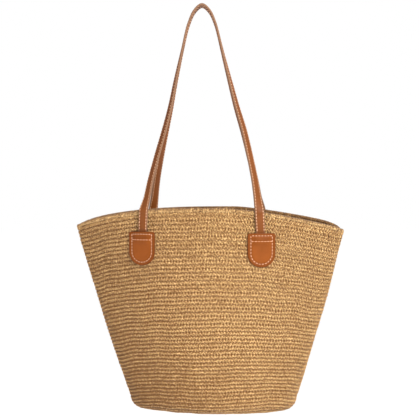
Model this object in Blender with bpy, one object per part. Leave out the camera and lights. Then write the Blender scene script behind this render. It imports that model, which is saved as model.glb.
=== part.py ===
"""A crocheted straw basket bag that hangs by its two leather straps.

Lengths are in metres and +Z is up. The front of the bag faces -Y. The origin is the hang
point, on the underside of the two straps' crown, so the whole bag lies below it.
"""
from collections import namedtuple
from math import atan2, cos, pi, radians, sin

import bmesh
import bpy
from mathutils import Vector

# Basket, measured over its outer surface
MOUTH_WIDTH = 0.419
MOUTH_DEPTH = 0.152
MOUTH_FOLD_RADIUS = 0.009
BASE_WIDTH = 0.262
BASE_DEPTH = 0.140
BASE_END_RADIUS = 0.046
BASE_EDGE_RADIUS = 0.019
BODY_HEIGHT = 0.315
LEFT_CORNER_DROP = 0.026
RIGHT_CORNER_DROP = 0.032
FRONT_CREST_SHIFT = 0.0175
BACK_CREST_SHIFT = 0.039
SIDE_BELLY = 0.003
FACE_BELLY = 0.006
WALL = 0.003

# Finishing round along the top edge
RIM_HEIGHT = 0.0055
RIM_THICKNESS = 0.0045

# Leather straps
HANDLE_DROP = 0.313
STRAP_WIDTH = 0.0145
STRAP_THICKNESS = 0.0033
STRAP_END_THICKNESS = 0.0016
STRAP_SPREAD = 0.174
STRAP_TUCK = 0.014
STRAP_FLARE = 0.006
STRAP_EDGE_ROUND = 0.0009
STRAPS_APART = 0.001
CROWN_TURN = radians(5.0)

# Leather patches over the strap ends
PATCH_WIDTH = 0.0415
PATCH_HEIGHT = 0.0515
PATCH_THICKNESS = 0.002
PATCH_SPREAD = 0.181
PATCH_DROP = 0.0325
PATCH_CORNER_RADIUS = 0.004
PATCH_RAMP = 0.005

# The bag hangs a little to the right of its hang point
MOUTH_OFFSET = 0.011
BASE_OFFSET = 0.0175
FRONT_STRAP_OFFSET = 0.005
BACK_STRAP_OFFSET = 0.002

# Space between pieces that touch on the real bag
GAP = 0.0003

# How finely curves are divided
FLANK_STEPS = 24
FOLD_STEPS = 5
WALL_LEVELS = 10
EDGE_STEPS = 4
STRAP_STEPS = 4
CORNER_STEPS = 2
ROUND_STEPS = 6
SHARP_ANGLE = radians(35.0)

# How places on the wall are worked out: rounds of refining, and a small step
SOLVE_ROUNDS = 8
SMALL_STEP = 0.001

FRONT = -1
BACK = 1
LEFT = -1
RIGHT = 1

RIM_CREST_Z = -HANDLE_DROP
BASE_Z = RIM_CREST_Z - BODY_HEIGHT

CORNER_DROP = {LEFT: LEFT_CORNER_DROP, RIGHT: RIGHT_CORNER_DROP}
CREST_SHIFT = {FRONT: FRONT_CREST_SHIFT, BACK: BACK_CREST_SHIFT}

# How the rim falls from its crest to each side fold. power: of the share of the way there;
# late: share of the fall that comes late, as the rim rounds off into the fold
RimFall = namedtuple("RimFall", "power late")
RIM_FALL = {
    (FRONT, LEFT): RimFall(power=2.75, late=0.0),
    (FRONT, RIGHT): RimFall(power=1.65, late=0.0),
    (BACK, LEFT): RimFall(power=3.0, late=0.21),
    (BACK, RIGHT): RimFall(power=1.3, late=0.23),
}
LATE_FALL_POWER = 14

# A strap's leg above the rim, each row a place on it. rise: share of the way up to the
# crown; spread: share of the half distance between the legs; lean: share of the strap's
# offset; apart: share of the way out from the crown to the wall; turn: share of a quarter
# turn, from flat to on edge
StrapRow = namedtuple("StrapRow", "rise spread lean apart turn")
STRAP_ROWS = (
    StrapRow(rise=0.060, spread=0.965, lean=1.00, apart=0.90, turn=0.36),
    StrapRow(rise=0.150, spread=0.910, lean=1.00, apart=0.74, turn=0.48),
    StrapRow(rise=0.267, spread=0.816, lean=1.00, apart=0.52, turn=0.54),
    StrapRow(rise=0.384, spread=0.712, lean=1.00, apart=0.32, turn=0.61),
    StrapRow(rise=0.500, spread=0.600, lean=0.68, apart=0.15, turn=0.70),
    StrapRow(rise=0.617, spread=0.502, lean=0.34, apart=0.05, turn=0.80),
    StrapRow(rise=0.735, spread=0.400, lean=0.12, apart=0.00, turn=0.91),
    StrapRow(rise=0.852, spread=0.298, lean=0.00, apart=0.00, turn=1.00),
    StrapRow(rise=0.910, spread=0.239, lean=0.00, apart=0.00, turn=1.00),
    StrapRow(rise=0.968, spread=0.144, lean=0.00, apart=0.00, turn=1.00),
)

Column = namedtuple("Column", "side across fan")
Station = namedtuple("Station", "place face turn thickness")
Finish = namedtuple("Finish", "color roughness")

STRAW = Finish(color=(0.62, 0.42, 0.22, 1.0), roughness=0.85)
STRAW_EDGE = Finish(color=(0.68, 0.47, 0.26, 1.0), roughness=0.80)
STRAP_LEATHER = Finish(color=(0.42, 0.18, 0.06, 1.0), roughness=0.50)
PATCH_LEATHER = Finish(color=(0.46, 0.20, 0.07, 1.0), roughness=0.48)


def blend(low, high, share):
    """Return the value at a share of the way from low to high."""
    return low + (high - low) * share


def ease_down(value, start, length):
    """Return 1 up to start, 0 past start + length, and an eased fall between."""
    share = min(max((value - start) / length, 0.0), 1.0)
    return 1.0 - share * share * (3.0 - 2.0 * share)


def make_material(name, finish):
    """Return a Principled material with a finish's colour and roughness."""
    material = bpy.data.materials.new(name)
    material.use_nodes = True
    shader = material.node_tree.nodes["Principled BSDF"]
    shader.inputs["Base Color"].default_value = finish.color
    shader.inputs["Roughness"].default_value = finish.roughness
    shader.inputs["Metallic"].default_value = 0.0
    material.diffuse_color = finish.color
    return material


def section(level):
    """Return the core's half width and half depth, the fold radius and the middle x.

    level is the share of the wall's height. A section is a thin lens of two parabolas,
    the core, grown by the fold radius: the parabolas make the two flanks, and the round
    ends make the side folds.
    """
    belly = sin(pi * level)
    fold = blend(BASE_END_RADIUS, MOUTH_FOLD_RADIUS, level)
    core_width = blend(BASE_WIDTH, MOUTH_WIDTH, level) / 2 + SIDE_BELLY * belly - fold
    core_depth = blend(BASE_DEPTH, MOUTH_DEPTH, level) / 2 + FACE_BELLY * belly - fold
    middle = blend(BASE_OFFSET, MOUTH_OFFSET, level)
    return core_width, core_depth, fold, middle


def wall_columns():
    """Return the columns of one ring, counter-clockwise from above, from the left fold.

    They lie closer together towards the folds.
    """
    steps = [-cos(pi * index / FLANK_STEPS) for index in range(FLANK_STEPS + 1)]
    fans = [2.0 * index / FOLD_STEPS - 1.0 for index in range(1, FOLD_STEPS)]
    front = [Column(FRONT, across, None) for across in steps]
    right = [Column(FRONT, 1.0, fan) for fan in fans]
    back = [Column(BACK, -across, None) for across in steps]
    left = [Column(BACK, -1.0, fan) for fan in fans]
    return front + right + back + left


def plan_point(column, level, inset):
    """Return x and y of a column at a share of the wall's height, set in from its surface."""
    core_width, core_depth, fold, middle = section(level)
    if column.fan is None:
        core_y = column.side * core_depth * (1.0 - column.across ** 2)
        angle = atan2(column.side * core_width, 2.0 * core_depth * column.across)
    else:
        core_y = 0.0
        angle = column.fan * atan2(core_width, 2.0 * core_depth)
        if column.across < 0.0:
            angle += pi
    reach = fold - inset
    x = middle + core_width * column.across + reach * cos(angle)
    y = core_y + reach * sin(angle)
    return x, y


def wall_height(side, across):
    """Return the wall's height, from the base's underside to its top edge."""
    crest = CREST_SHIFT[side] / (MOUTH_WIDTH / 2)
    if across < crest:
        end = LEFT
        share = (crest - across) / (crest + 1.0)
    else:
        end = RIGHT
        share = (across - crest) / (1.0 - crest)
    rim = RIM_FALL[side, end]
    fall = blend(share ** rim.power, share ** LATE_FALL_POWER, rim.late)
    return BODY_HEIGHT - RIM_HEIGHT - GAP - CORNER_DROP[end] * fall


def wall_ring(level, inset):
    """Return the points of one ring at a share of the wall above its rounded lower edge."""
    points = []
    for column in wall_columns():
        x, y = plan_point(column, level, inset)
        rise = blend(BASE_EDGE_RADIUS, wall_height(column.side, column.across), level)
        points.append(Vector((x, y, BASE_Z + rise)))
    return points


def edge_ring(turn, inset):
    """Return the points of one ring of the rounded lower edge, turn from 0 up to pi / 2."""
    radius = BASE_EDGE_RADIUS - inset
    set_in = inset + radius * (1.0 - cos(turn))
    z = BASE_Z + BASE_EDGE_RADIUS - radius * sin(turn)
    points = []
    for column in wall_columns():
        x, y = plan_point(column, 0.0, set_in)
        points.append(Vector((x, y, z)))
    return points


def shell_rings(inset):
    """Return a shell's rings, from the top edge down to the flat of the base."""
    rings = [wall_ring(1.0 - index / WALL_LEVELS, inset) for index in range(WALL_LEVELS)]
    for index in range(EDGE_STEPS + 1):
        rings.append(edge_ring(0.5 * pi * index / EDGE_STEPS, inset))
    return rings


def across_at(side, x, level):
    """Return where a flank reaches x at a share of the wall's height, from -1 to 1."""
    core_width, core_depth, fold, middle = section(level)
    across = (x - middle) / core_width
    for _ in range(SOLVE_ROUNDS):
        angle = atan2(side * core_width, 2.0 * core_depth * across)
        across = (x - middle - fold * cos(angle)) / core_width
    return across


def wall_top_z(side, x):
    """Return the z of the wall's top edge at x."""
    return BASE_Z + wall_height(side, across_at(side, x, 1.0))


def wall_spot(side, x, z):
    """Return the point of the outer wall at x and z."""
    level = 1.0
    for _ in range(SOLVE_ROUNDS):
        across = across_at(side, x, level)
        height = wall_height(side, across) - BASE_EDGE_RADIUS
        level = (z - BASE_Z - BASE_EDGE_RADIUS) / height
    flank_x, flank_y = plan_point(Column(side, across_at(side, x, level), None), level, 0.0)
    return Vector((flank_x, flank_y, z))


def wall_normal(side, x, z):
    """Return the outward normal of the outer wall at x and z."""
    along = wall_spot(side, x + SMALL_STEP, z) - wall_spot(side, x - SMALL_STEP, z)
    down = wall_spot(side, x, z - SMALL_STEP) - wall_spot(side, x, z + SMALL_STEP)
    return along.cross(down).normalized() * side


def add_ring(mesh, points):
    """Add a ring of vertices to an edit mesh."""
    return [mesh.verts.new(point) for point in points]


def loft(mesh, rings, closed=False):
    """Join rings of vertices with quads; if closed, the last ring meets the first."""
    pairs = list(zip(rings, rings[1:]))
    if closed:
        pairs.append((rings[-1], rings[0]))
    for upper, lower in pairs:
        for index in range(len(upper)):
            follow = (index + 1) % len(upper)
            mesh.faces.new((upper[index], lower[index], lower[follow], upper[follow]))


def add_object(name, mesh, finish, collection):
    """Make an object from an edit mesh, faces outwards, with its own material."""
    bmesh.ops.recalc_face_normals(mesh, faces=mesh.faces)
    data = bpy.data.meshes.new(name)
    mesh.to_mesh(data)
    mesh.free()
    data.materials.append(make_material(name, finish))
    data.shade_smooth()
    data.set_sharp_from_angle(angle=SHARP_ANGLE)
    piece = bpy.data.objects.new(name, data)
    collection.objects.link(piece)
    return piece


def make_basket(collection):
    """Loft the outer and the inner shell, joined along the top edge and shut by the base."""
    mesh = bmesh.new()
    outer = [add_ring(mesh, points) for points in shell_rings(0.0)]
    inner = [add_ring(mesh, points) for points in shell_rings(WALL)]
    loft(mesh, list(reversed(inner)) + outer)
    mesh.faces.new(outer[-1])
    mesh.faces.new(inner[-1])
    add_object("basket_body", mesh, STRAW, collection)


def rim_section():
    """Return the rim band's section as pairs: out from the wall's middle, up from its foot."""
    half = RIM_THICKNESS / 2
    round_off = half / 2
    return (
        (half, round_off),
        (half, RIM_HEIGHT - round_off),
        (half - round_off, RIM_HEIGHT),
        (round_off - half, RIM_HEIGHT),
        (-half, RIM_HEIGHT - round_off),
        (-half, round_off),
        (round_off - half, 0.0),
        (half - round_off, 0.0),
    )


def make_rim_band(collection):
    """Sweep the rim band's section round the wall's top edge."""
    mesh = bmesh.new()
    rings = []
    for column in wall_columns():
        foot = BASE_Z + wall_height(column.side, column.across) + GAP
        points = []
        for out, up in rim_section():
            x, y = plan_point(column, 1.0, WALL / 2 - out)
            points.append(Vector((x, y, foot + up)))
        rings.append(add_ring(mesh, points))
    loft(mesh, rings, closed=True)
    add_object("rim_band", mesh, STRAW_EDGE, collection)


def strap_offset(side):
    """Return how far right of the hang point the middle between a strap's legs lies."""
    return FRONT_STRAP_OFFSET if side == FRONT else BACK_STRAP_OFFSET


def patch_top_z(side, leg):
    """Return the z of a patch's top edge, set below the rim beside the strap."""
    rim_x = strap_offset(side) + leg * STRAP_SPREAD / 2
    return wall_top_z(side, rim_x) + GAP + RIM_HEIGHT - PATCH_DROP


def leg_x(side, leg, z):
    """Return the x of a strap's leg on the wall: legs spread from the rim to the patches."""
    patch_middle = patch_top_z(side, leg) - PATCH_HEIGHT / 2
    rim_z = patch_top_z(side, leg) + PATCH_DROP
    share = (rim_z - z) / (rim_z - patch_middle)
    return strap_offset(side) + leg * blend(STRAP_SPREAD, PATCH_SPREAD, share) / 2


def wall_stations(side, leg):
    """Return a leg's stations on the wall, from the end under the patch to the rim's top."""
    patch_z = patch_top_z(side, leg)
    rim_top = patch_z + PATCH_DROP
    rim_foot = rim_top - RIM_HEIGHT
    rows = (
        (patch_z - STRAP_TUCK, STRAP_END_THICKNESS),
        (patch_z - STRAP_TUCK / 2, STRAP_END_THICKNESS),
        (patch_z + GAP, STRAP_END_THICKNESS),
        (patch_z + STRAP_FLARE, STRAP_THICKNESS),
        (blend(patch_z + STRAP_FLARE, rim_foot, 0.5), STRAP_THICKNESS),
        (rim_foot - GAP, STRAP_THICKNESS),
        (rim_top + GAP, STRAP_THICKNESS),
    )
    band_proud = (RIM_THICKNESS - WALL) / 2
    stations = []
    for z, thickness in rows:
        x = leg_x(side, leg, z)
        face = wall_normal(side, x, z)
        over_band = 1.0 - ease_down(z, patch_z, rim_foot - GAP - patch_z)
        proud = GAP + band_proud * over_band + thickness / 2
        stations.append(Station(wall_spot(side, x, z) + face * proud, face, 0.0, thickness))
    return stations


def crown_way():
    """Return the way in which the straps lie side by side at the crown, front to back."""
    return Vector((-sin(CROWN_TURN), cos(CROWN_TURN), 0.0))


def crown_station(side):
    """Return the crown's station: on edge, beside the other strap, over the origin."""
    place = crown_way() * side * (STRAP_WIDTH + STRAPS_APART) / 2
    place.z = STRAP_THICKNESS / 2
    return Station(place, Vector((0.0, side, 0.0)), 1.0, STRAP_THICKNESS)


def leg_stations(side, leg):
    """Return a leg's stations, from its end under the patch to just short of the crown."""
    stations = wall_stations(side, leg)
    foot = stations[-1]
    crown = crown_station(side)
    for row in STRAP_ROWS:
        x = crown.place.x + strap_offset(side) * row.lean + leg * row.spread * STRAP_SPREAD / 2
        y = blend(crown.place.y, foot.place.y, row.apart)
        z = blend(foot.place.z, crown.place.z, row.rise)
        stations.append(Station(Vector((x, y, z)), foot.face, row.turn, STRAP_THICKNESS))
    return stations


def spline(before, start, end, after, share):
    """Return a value of a Catmull-Rom spline at a share of the way from start to end."""
    return 0.5 * (
        2.0 * start
        + (end - before) * share
        + (2.0 * before - 5.0 * start + 4.0 * end - after) * share ** 2
        + (3.0 * start - before - 3.0 * end + after) * share ** 3
    )


def smooth_stations(stations):
    """Return stations on a smooth curve through the given ones."""
    last = len(stations) - 1
    smooth = []
    for index in range(last):
        before, start, end, after = (
            stations[min(max(index + shift, 0), last)] for shift in (-1, 0, 1, 2)
        )
        for step in range(STRAP_STEPS):
            share = step / STRAP_STEPS
            smooth.append(Station(
                spline(before.place, start.place, end.place, after.place, share),
                start.face.lerp(end.face, share),
                blend(start.turn, end.turn, share),
                blend(start.thickness, end.thickness, share),
            ))
    smooth.append(stations[last])
    return smooth


def strip_section(thickness):
    """Return a strip's section as pairs: across its width, out through its thickness."""
    half_width = STRAP_WIDTH / 2
    half = thickness / 2
    edge = min(STRAP_EDGE_ROUND, half / 2)
    return (
        (half_width, edge - half),
        (half_width, half - edge),
        (half_width - edge, half),
        (edge - half_width, half),
        (-half_width, half - edge),
        (-half_width, edge - half),
        (edge - half_width, -half),
        (half_width - edge, -half),
    )


def make_strap(name, side, collection):
    """Sweep a strip along its stations, flat on the wall and on edge at the crown."""
    mesh = bmesh.new()
    ends = leg_stations(side, LEFT), leg_stations(side, RIGHT)
    stations = smooth_stations(ends[0] + [crown_station(side)] + ends[1][::-1])
    rings = []
    for index, station in enumerate(stations):
        ahead = stations[min(index + 1, len(stations) - 1)].place
        behind = stations[max(index - 1, 0)].place
        along = (ahead - behind).normalized()
        edge_way = along.cross(crown_way())
        turn = 0.5 * pi * station.turn
        out = station.face * cos(turn) + edge_way * sin(turn)
        out = (out - along * out.dot(along)).normalized()
        across = along.cross(out)
        rings.append(add_ring(mesh, [
            station.place + across * wide + out * thick
            for wide, thick in strip_section(station.thickness)
        ]))
    loft(mesh, rings)
    mesh.faces.new(rings[0])
    mesh.faces.new(rings[-1])
    add_object(name, mesh, STRAP_LEATHER, collection)


def patch_rows():
    """Return the patch's rows, top to bottom, as pairs: below its top edge, half width."""
    half = PATCH_WIDTH / 2
    rows = []
    for index in range(CORNER_STEPS + 1):
        turn = 0.5 * pi * index / CORNER_STEPS
        below = PATCH_CORNER_RADIUS * (1.0 - cos(turn))
        rows.append((below, half - PATCH_CORNER_RADIUS * (1.0 - sin(turn))))
    for share in (0.0, 0.5, 1.0):
        rows.append((STRAP_TUCK + GAP + PATCH_RAMP * share, half))
    for index in range(ROUND_STEPS):
        turn = 0.5 * pi * index / ROUND_STEPS
        rows.append((PATCH_HEIGHT - half * (1.0 - sin(turn)), half * cos(turn)))
    return rows


def strap_reach(side, leg):
    """Return how far from a patch's middle the strap under it reaches to either side."""
    top = patch_top_z(side, leg)
    slant = abs(leg_x(side, leg, top) - leg_x(side, leg, top - PATCH_HEIGHT / 2))
    return STRAP_WIDTH / 2 + slant + GAP


def patch_columns(reach):
    """Return the patch's columns, left to right, as shares of its half width."""
    marks = (reach, reach + PATCH_RAMP / 2, reach + PATCH_RAMP)
    shares = [mark / (PATCH_WIDTH / 2) for mark in marks] + [1.0]
    return [-share for share in reversed(shares)] + [0.0] + shares


def patch_sheet(side, leg, lift):
    """Return a patch's grid of points at a lift from the wall, raised over the strap's end."""
    top = patch_top_z(side, leg)
    middle = leg_x(side, leg, top - PATCH_HEIGHT / 2)
    reach = strap_reach(side, leg)
    sheet = []
    for below, half_width in patch_rows():
        row = []
        for share in patch_columns(reach):
            across = share * half_width
            over_strap = ease_down(abs(across), reach, PATCH_RAMP)
            over_end = ease_down(below, STRAP_TUCK + GAP, PATCH_RAMP)
            raised = (STRAP_END_THICKNESS + GAP) * over_strap * over_end
            x = middle + across
            z = top - below
            row.append(wall_spot(side, x, z) + wall_normal(side, x, z) * (lift + raised))
        sheet.append(row)
    return sheet


def make_patch(name, side, leg, collection):
    """Lay a patch on the wall: two sheets, joined all round their outline."""
    mesh = bmesh.new()
    under = [add_ring(mesh, row) for row in patch_sheet(side, leg, GAP)]
    upper = [add_ring(mesh, row) for row in patch_sheet(side, leg, GAP + PATCH_THICKNESS)]
    for row in range(len(upper) - 1):
        loft(mesh, [
            upper[row] + list(reversed(under[row])),
            upper[row + 1] + list(reversed(under[row + 1])),
        ])
    for upper_row, under_row in ((upper[0], under[0]), (upper[-1], under[-1])):
        for index in range(len(upper_row) - 1):
            mesh.faces.new((
                upper_row[index], upper_row[index + 1], under_row[index + 1], under_row[index],
            ))
    add_object(name, mesh, PATCH_LEATHER, collection)


def main():
    """Build the bag in its own collection."""
    for leftover in list(bpy.data.objects):
        bpy.data.objects.remove(leftover, do_unlink=True)
    collection = bpy.data.collections.new("straw_basket_bag")
    bpy.context.scene.collection.children.link(collection)
    make_basket(collection)
    make_rim_band(collection)
    for side_name, side in (("front", FRONT), ("back", BACK)):
        make_strap("strap_" + side_name, side, collection)
        for leg_name, leg in (("left", LEFT), ("right", RIGHT)):
            make_patch(f"patch_{side_name}_{leg_name}", side, leg, collection)


main()
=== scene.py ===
"""A crocheted straw basket bag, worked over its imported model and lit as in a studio.

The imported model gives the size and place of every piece. This script works the straw
stitch by stitch over the same form, sews the leather and sets up the studio. Lengths are
in metres, +Z is up, the front of the bag faces -Y and the origin is the hang point.
"""
import logging
import math
from collections.abc import Callable, Iterable, Sequence
from dataclasses import astuple, dataclass, field
from enum import Enum
from typing import Union

import bmesh
import bpy
import numpy as np
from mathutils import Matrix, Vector


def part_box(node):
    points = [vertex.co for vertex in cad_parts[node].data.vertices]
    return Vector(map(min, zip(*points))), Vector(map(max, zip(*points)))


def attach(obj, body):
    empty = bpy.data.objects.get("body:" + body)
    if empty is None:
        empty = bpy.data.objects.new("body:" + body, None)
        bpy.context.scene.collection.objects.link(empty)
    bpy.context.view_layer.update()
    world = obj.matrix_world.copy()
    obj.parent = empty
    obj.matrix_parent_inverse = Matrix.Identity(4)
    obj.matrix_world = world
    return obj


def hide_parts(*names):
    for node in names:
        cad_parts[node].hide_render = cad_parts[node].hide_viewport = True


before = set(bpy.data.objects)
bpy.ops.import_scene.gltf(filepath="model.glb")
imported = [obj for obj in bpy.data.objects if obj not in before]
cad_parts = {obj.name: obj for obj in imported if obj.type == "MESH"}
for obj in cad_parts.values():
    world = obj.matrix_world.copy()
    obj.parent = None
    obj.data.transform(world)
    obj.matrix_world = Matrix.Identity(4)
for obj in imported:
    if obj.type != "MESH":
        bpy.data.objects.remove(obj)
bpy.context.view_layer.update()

log = logging.getLogger("straw_basket_bag")

Numbers = Union[float, np.ndarray]
Color = tuple[float, float, float]

BODY = "root"
UP = np.array([0.0, 0.0, 1.0])
WHITE = (1.0, 1.0, 1.0, 1.0)


class Side(Enum):
    """A face of the basket, with the sign of its y."""

    FRONT = -1
    BACK = 1


class Leg(Enum):
    """A leg of a strap, with the sign of its x."""

    LEFT = -1
    RIGHT = 1


class Slot(Enum):
    """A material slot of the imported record."""

    STRAW = "straw"
    STRAW_EDGE = "straw_edge"
    STRAP_LEATHER = "strap_leather"
    PATCH_LEATHER = "patch_leather"


def blend(low: Numbers, high: Numbers, share: Numbers) -> Numbers:
    """Return the value at a share of the way from low to high."""
    return low + (high - low) * share


def ease_down(value: Numbers, start: float, length: float) -> Numbers:
    """Fall from 1 to 0, eased, over a length.

    Args:
        value: Where to look.
        start: Where the fall begins; the result is 1 up to here.
        length: How long the fall is.

    Returns:
        The eased value.
    """
    share = np.clip((value - start) / length, 0.0, 1.0)
    return 1.0 - share * share * (3.0 - 2.0 * share)


def unit(vectors: np.ndarray) -> np.ndarray:
    """Return vectors at length 1, along the last axis."""
    return vectors / np.maximum(np.linalg.norm(vectors, axis=-1, keepdims=True), 1e-12)


@dataclass(frozen=True)
class RimFall:
    """How the rim falls from its crest to a side fold.

    power is taken of the share of the way there, and a late share of the fall comes as the
    rim rounds off into the fold.
    """

    power: float
    late: float


@dataclass(frozen=True)
class BasketForm:
    """The basket's outer surface as it hangs: a lens in plan that widens upwards.

    level is a share of the wall's height above its rounded lower edge. across goes from -1
    at the left fold to 1 at the right one.
    """

    base_z: float
    mouth_width: float = 0.419
    mouth_depth: float = 0.152
    mouth_fold_radius: float = 0.009
    base_width: float = 0.262
    base_depth: float = 0.140
    base_end_radius: float = 0.046
    base_edge_radius: float = 0.019
    body_height: float = 0.315
    left_corner_drop: float = 0.026
    right_corner_drop: float = 0.032
    front_crest_shift: float = 0.0175
    back_crest_shift: float = 0.039
    side_belly: float = 0.003
    face_belly: float = 0.006
    mouth_offset: float = 0.011
    base_offset: float = 0.0175
    wall: float = 0.003
    rim_height: float = 0.0055
    gap: float = 0.0003
    front_left_fall: RimFall = RimFall(power=2.75, late=0.0)
    front_right_fall: RimFall = RimFall(power=1.65, late=0.0)
    back_left_fall: RimFall = RimFall(power=3.0, late=0.21)
    back_right_fall: RimFall = RimFall(power=1.3, late=0.23)
    late_fall_power: float = 14.0
    solve_rounds: int = 8
    small_step: float = 0.001

    def section(self, level: Numbers) -> tuple[Numbers, Numbers, Numbers, Numbers]:
        """Measure the plan at a level.

        Args:
            level: Share of the wall's height.

        Returns:
            The core's half width and half depth, the fold radius and the middle x.
        """
        belly = np.sin(np.pi * level)
        fold = blend(self.base_end_radius, self.mouth_fold_radius, level)
        width = blend(self.base_width, self.mouth_width, level) / 2
        depth = blend(self.base_depth, self.mouth_depth, level) / 2
        core_width = width + self.side_belly * belly - fold
        core_depth = depth + self.face_belly * belly - fold
        return core_width, core_depth, fold, blend(self.base_offset, self.mouth_offset, level)

    def plan(
        self, level: Numbers, side: Numbers, across: Numbers, fan: Numbers, inset: Numbers,
    ) -> tuple[np.ndarray, np.ndarray]:
        """Place columns of the wall in plan.

        Args:
            level: Share of the wall's height.
            side: -1 on the front, 1 on the back.
            across: Share of the way across, from -1 to 1.
            fan: Share of a fold's turn, from -1 to 1, or NaN on a flank.
            inset: Distance in from the outer surface.

        Returns:
            The columns' x and y.
        """
        core_width, core_depth, fold, middle = self.section(level)
        on_flank = np.isnan(fan)
        turn = np.where(on_flank, 0.0, fan)
        fold_angle = turn * np.arctan2(core_width, 2.0 * core_depth)
        fold_angle = fold_angle + np.where(across < 0.0, np.pi, 0.0)
        flank_angle = np.arctan2(side * core_width, 2.0 * core_depth * across)
        angle = np.where(on_flank, flank_angle, fold_angle)
        core_y = np.where(on_flank, side * core_depth * (1.0 - across ** 2), 0.0)
        reach = fold - inset
        return middle + core_width * across + reach * np.cos(angle), core_y + reach * np.sin(angle)

    def wall_height(self, side: Numbers, across: Numbers) -> np.ndarray:
        """Measure the wall, from the base's underside to its top edge.

        Args:
            side: -1 on the front, 1 on the back.
            across: Share of the way across, from -1 to 1.

        Returns:
            The height.
        """
        in_front = np.asarray(side) < 0
        shift = np.where(in_front, self.front_crest_shift, self.back_crest_shift)
        crest = shift / (self.mouth_width / 2)
        left_share = np.clip((crest - across) / (crest + 1.0), 0.0, 1.0)
        right_share = np.clip((across - crest) / (1.0 - crest), 0.0, 1.0)
        left_drop = self.left_corner_drop * np.where(
            in_front, self._fall(left_share, self.front_left_fall),
            self._fall(left_share, self.back_left_fall),
        )
        right_drop = self.right_corner_drop * np.where(
            in_front, self._fall(right_share, self.front_right_fall),
            self._fall(right_share, self.back_right_fall),
        )
        return self.body_height - self.rim_height - self.gap - left_drop - right_drop

    def _fall(self, share: np.ndarray, fall: RimFall) -> np.ndarray:
        """Return the share of the fall at a share of the way to the fold."""
        return blend(share ** fall.power, share ** self.late_fall_power, fall.late)

    def across_at(self, side: int, x: Numbers, level: Numbers) -> Numbers:
        """Find where a flank reaches x at a level.

        Args:
            side: -1 on the front, 1 on the back.
            x: The points' x.
            level: Share of the wall's height.

        Returns:
            The shares of the way across, from -1 to 1.
        """
        core_width, core_depth, fold, middle = self.section(level)
        across = (x - middle) / core_width
        for _ in range(self.solve_rounds):
            angle = np.arctan2(side * core_width, 2.0 * core_depth * across)
            across = (x - middle - fold * np.cos(angle)) / core_width
        return across

    def wall_top_z(self, side: int, x: float) -> float:
        """Return the z of the wall's top edge at x."""
        return float(self.base_z + self.wall_height(side, self.across_at(side, x, 1.0)))

    def wall_spot(self, side: int, x: Numbers, z: Numbers) -> np.ndarray:
        """Find points of the outer wall.

        Args:
            side: -1 for the front, 1 for the back.
            x: The points' x.
            z: The points' z.

        Returns:
            The points, one in each row.
        """
        x, z = np.broadcast_arrays(np.asarray(x, float), np.asarray(z, float))
        level = np.ones_like(x)
        across = np.zeros_like(x)
        for _ in range(self.solve_rounds):
            across = self.across_at(side, x, level)
            height = self.wall_height(side, across) - self.base_edge_radius
            level = (z - self.base_z - self.base_edge_radius) / height
        across = self.across_at(side, x, level)
        flank_x, flank_y = self.plan(level, side, across, np.full_like(x, np.nan), 0.0)
        return np.stack([flank_x, flank_y, z], axis=-1)

    def wall_normal(self, side: int, x: Numbers, z: Numbers) -> np.ndarray:
        """Find the outward normals of the outer wall.

        Args:
            side: -1 on the front, 1 on the back.
            x: The points' x.
            z: The points' z.

        Returns:
            The normals, one in each row.
        """
        step = self.small_step
        along = self.wall_spot(side, x + step, z) - self.wall_spot(side, x - step, z)
        down = self.wall_spot(side, x, z - step) - self.wall_spot(side, x, z + step)
        return unit(np.cross(along, down)) * side


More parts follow.
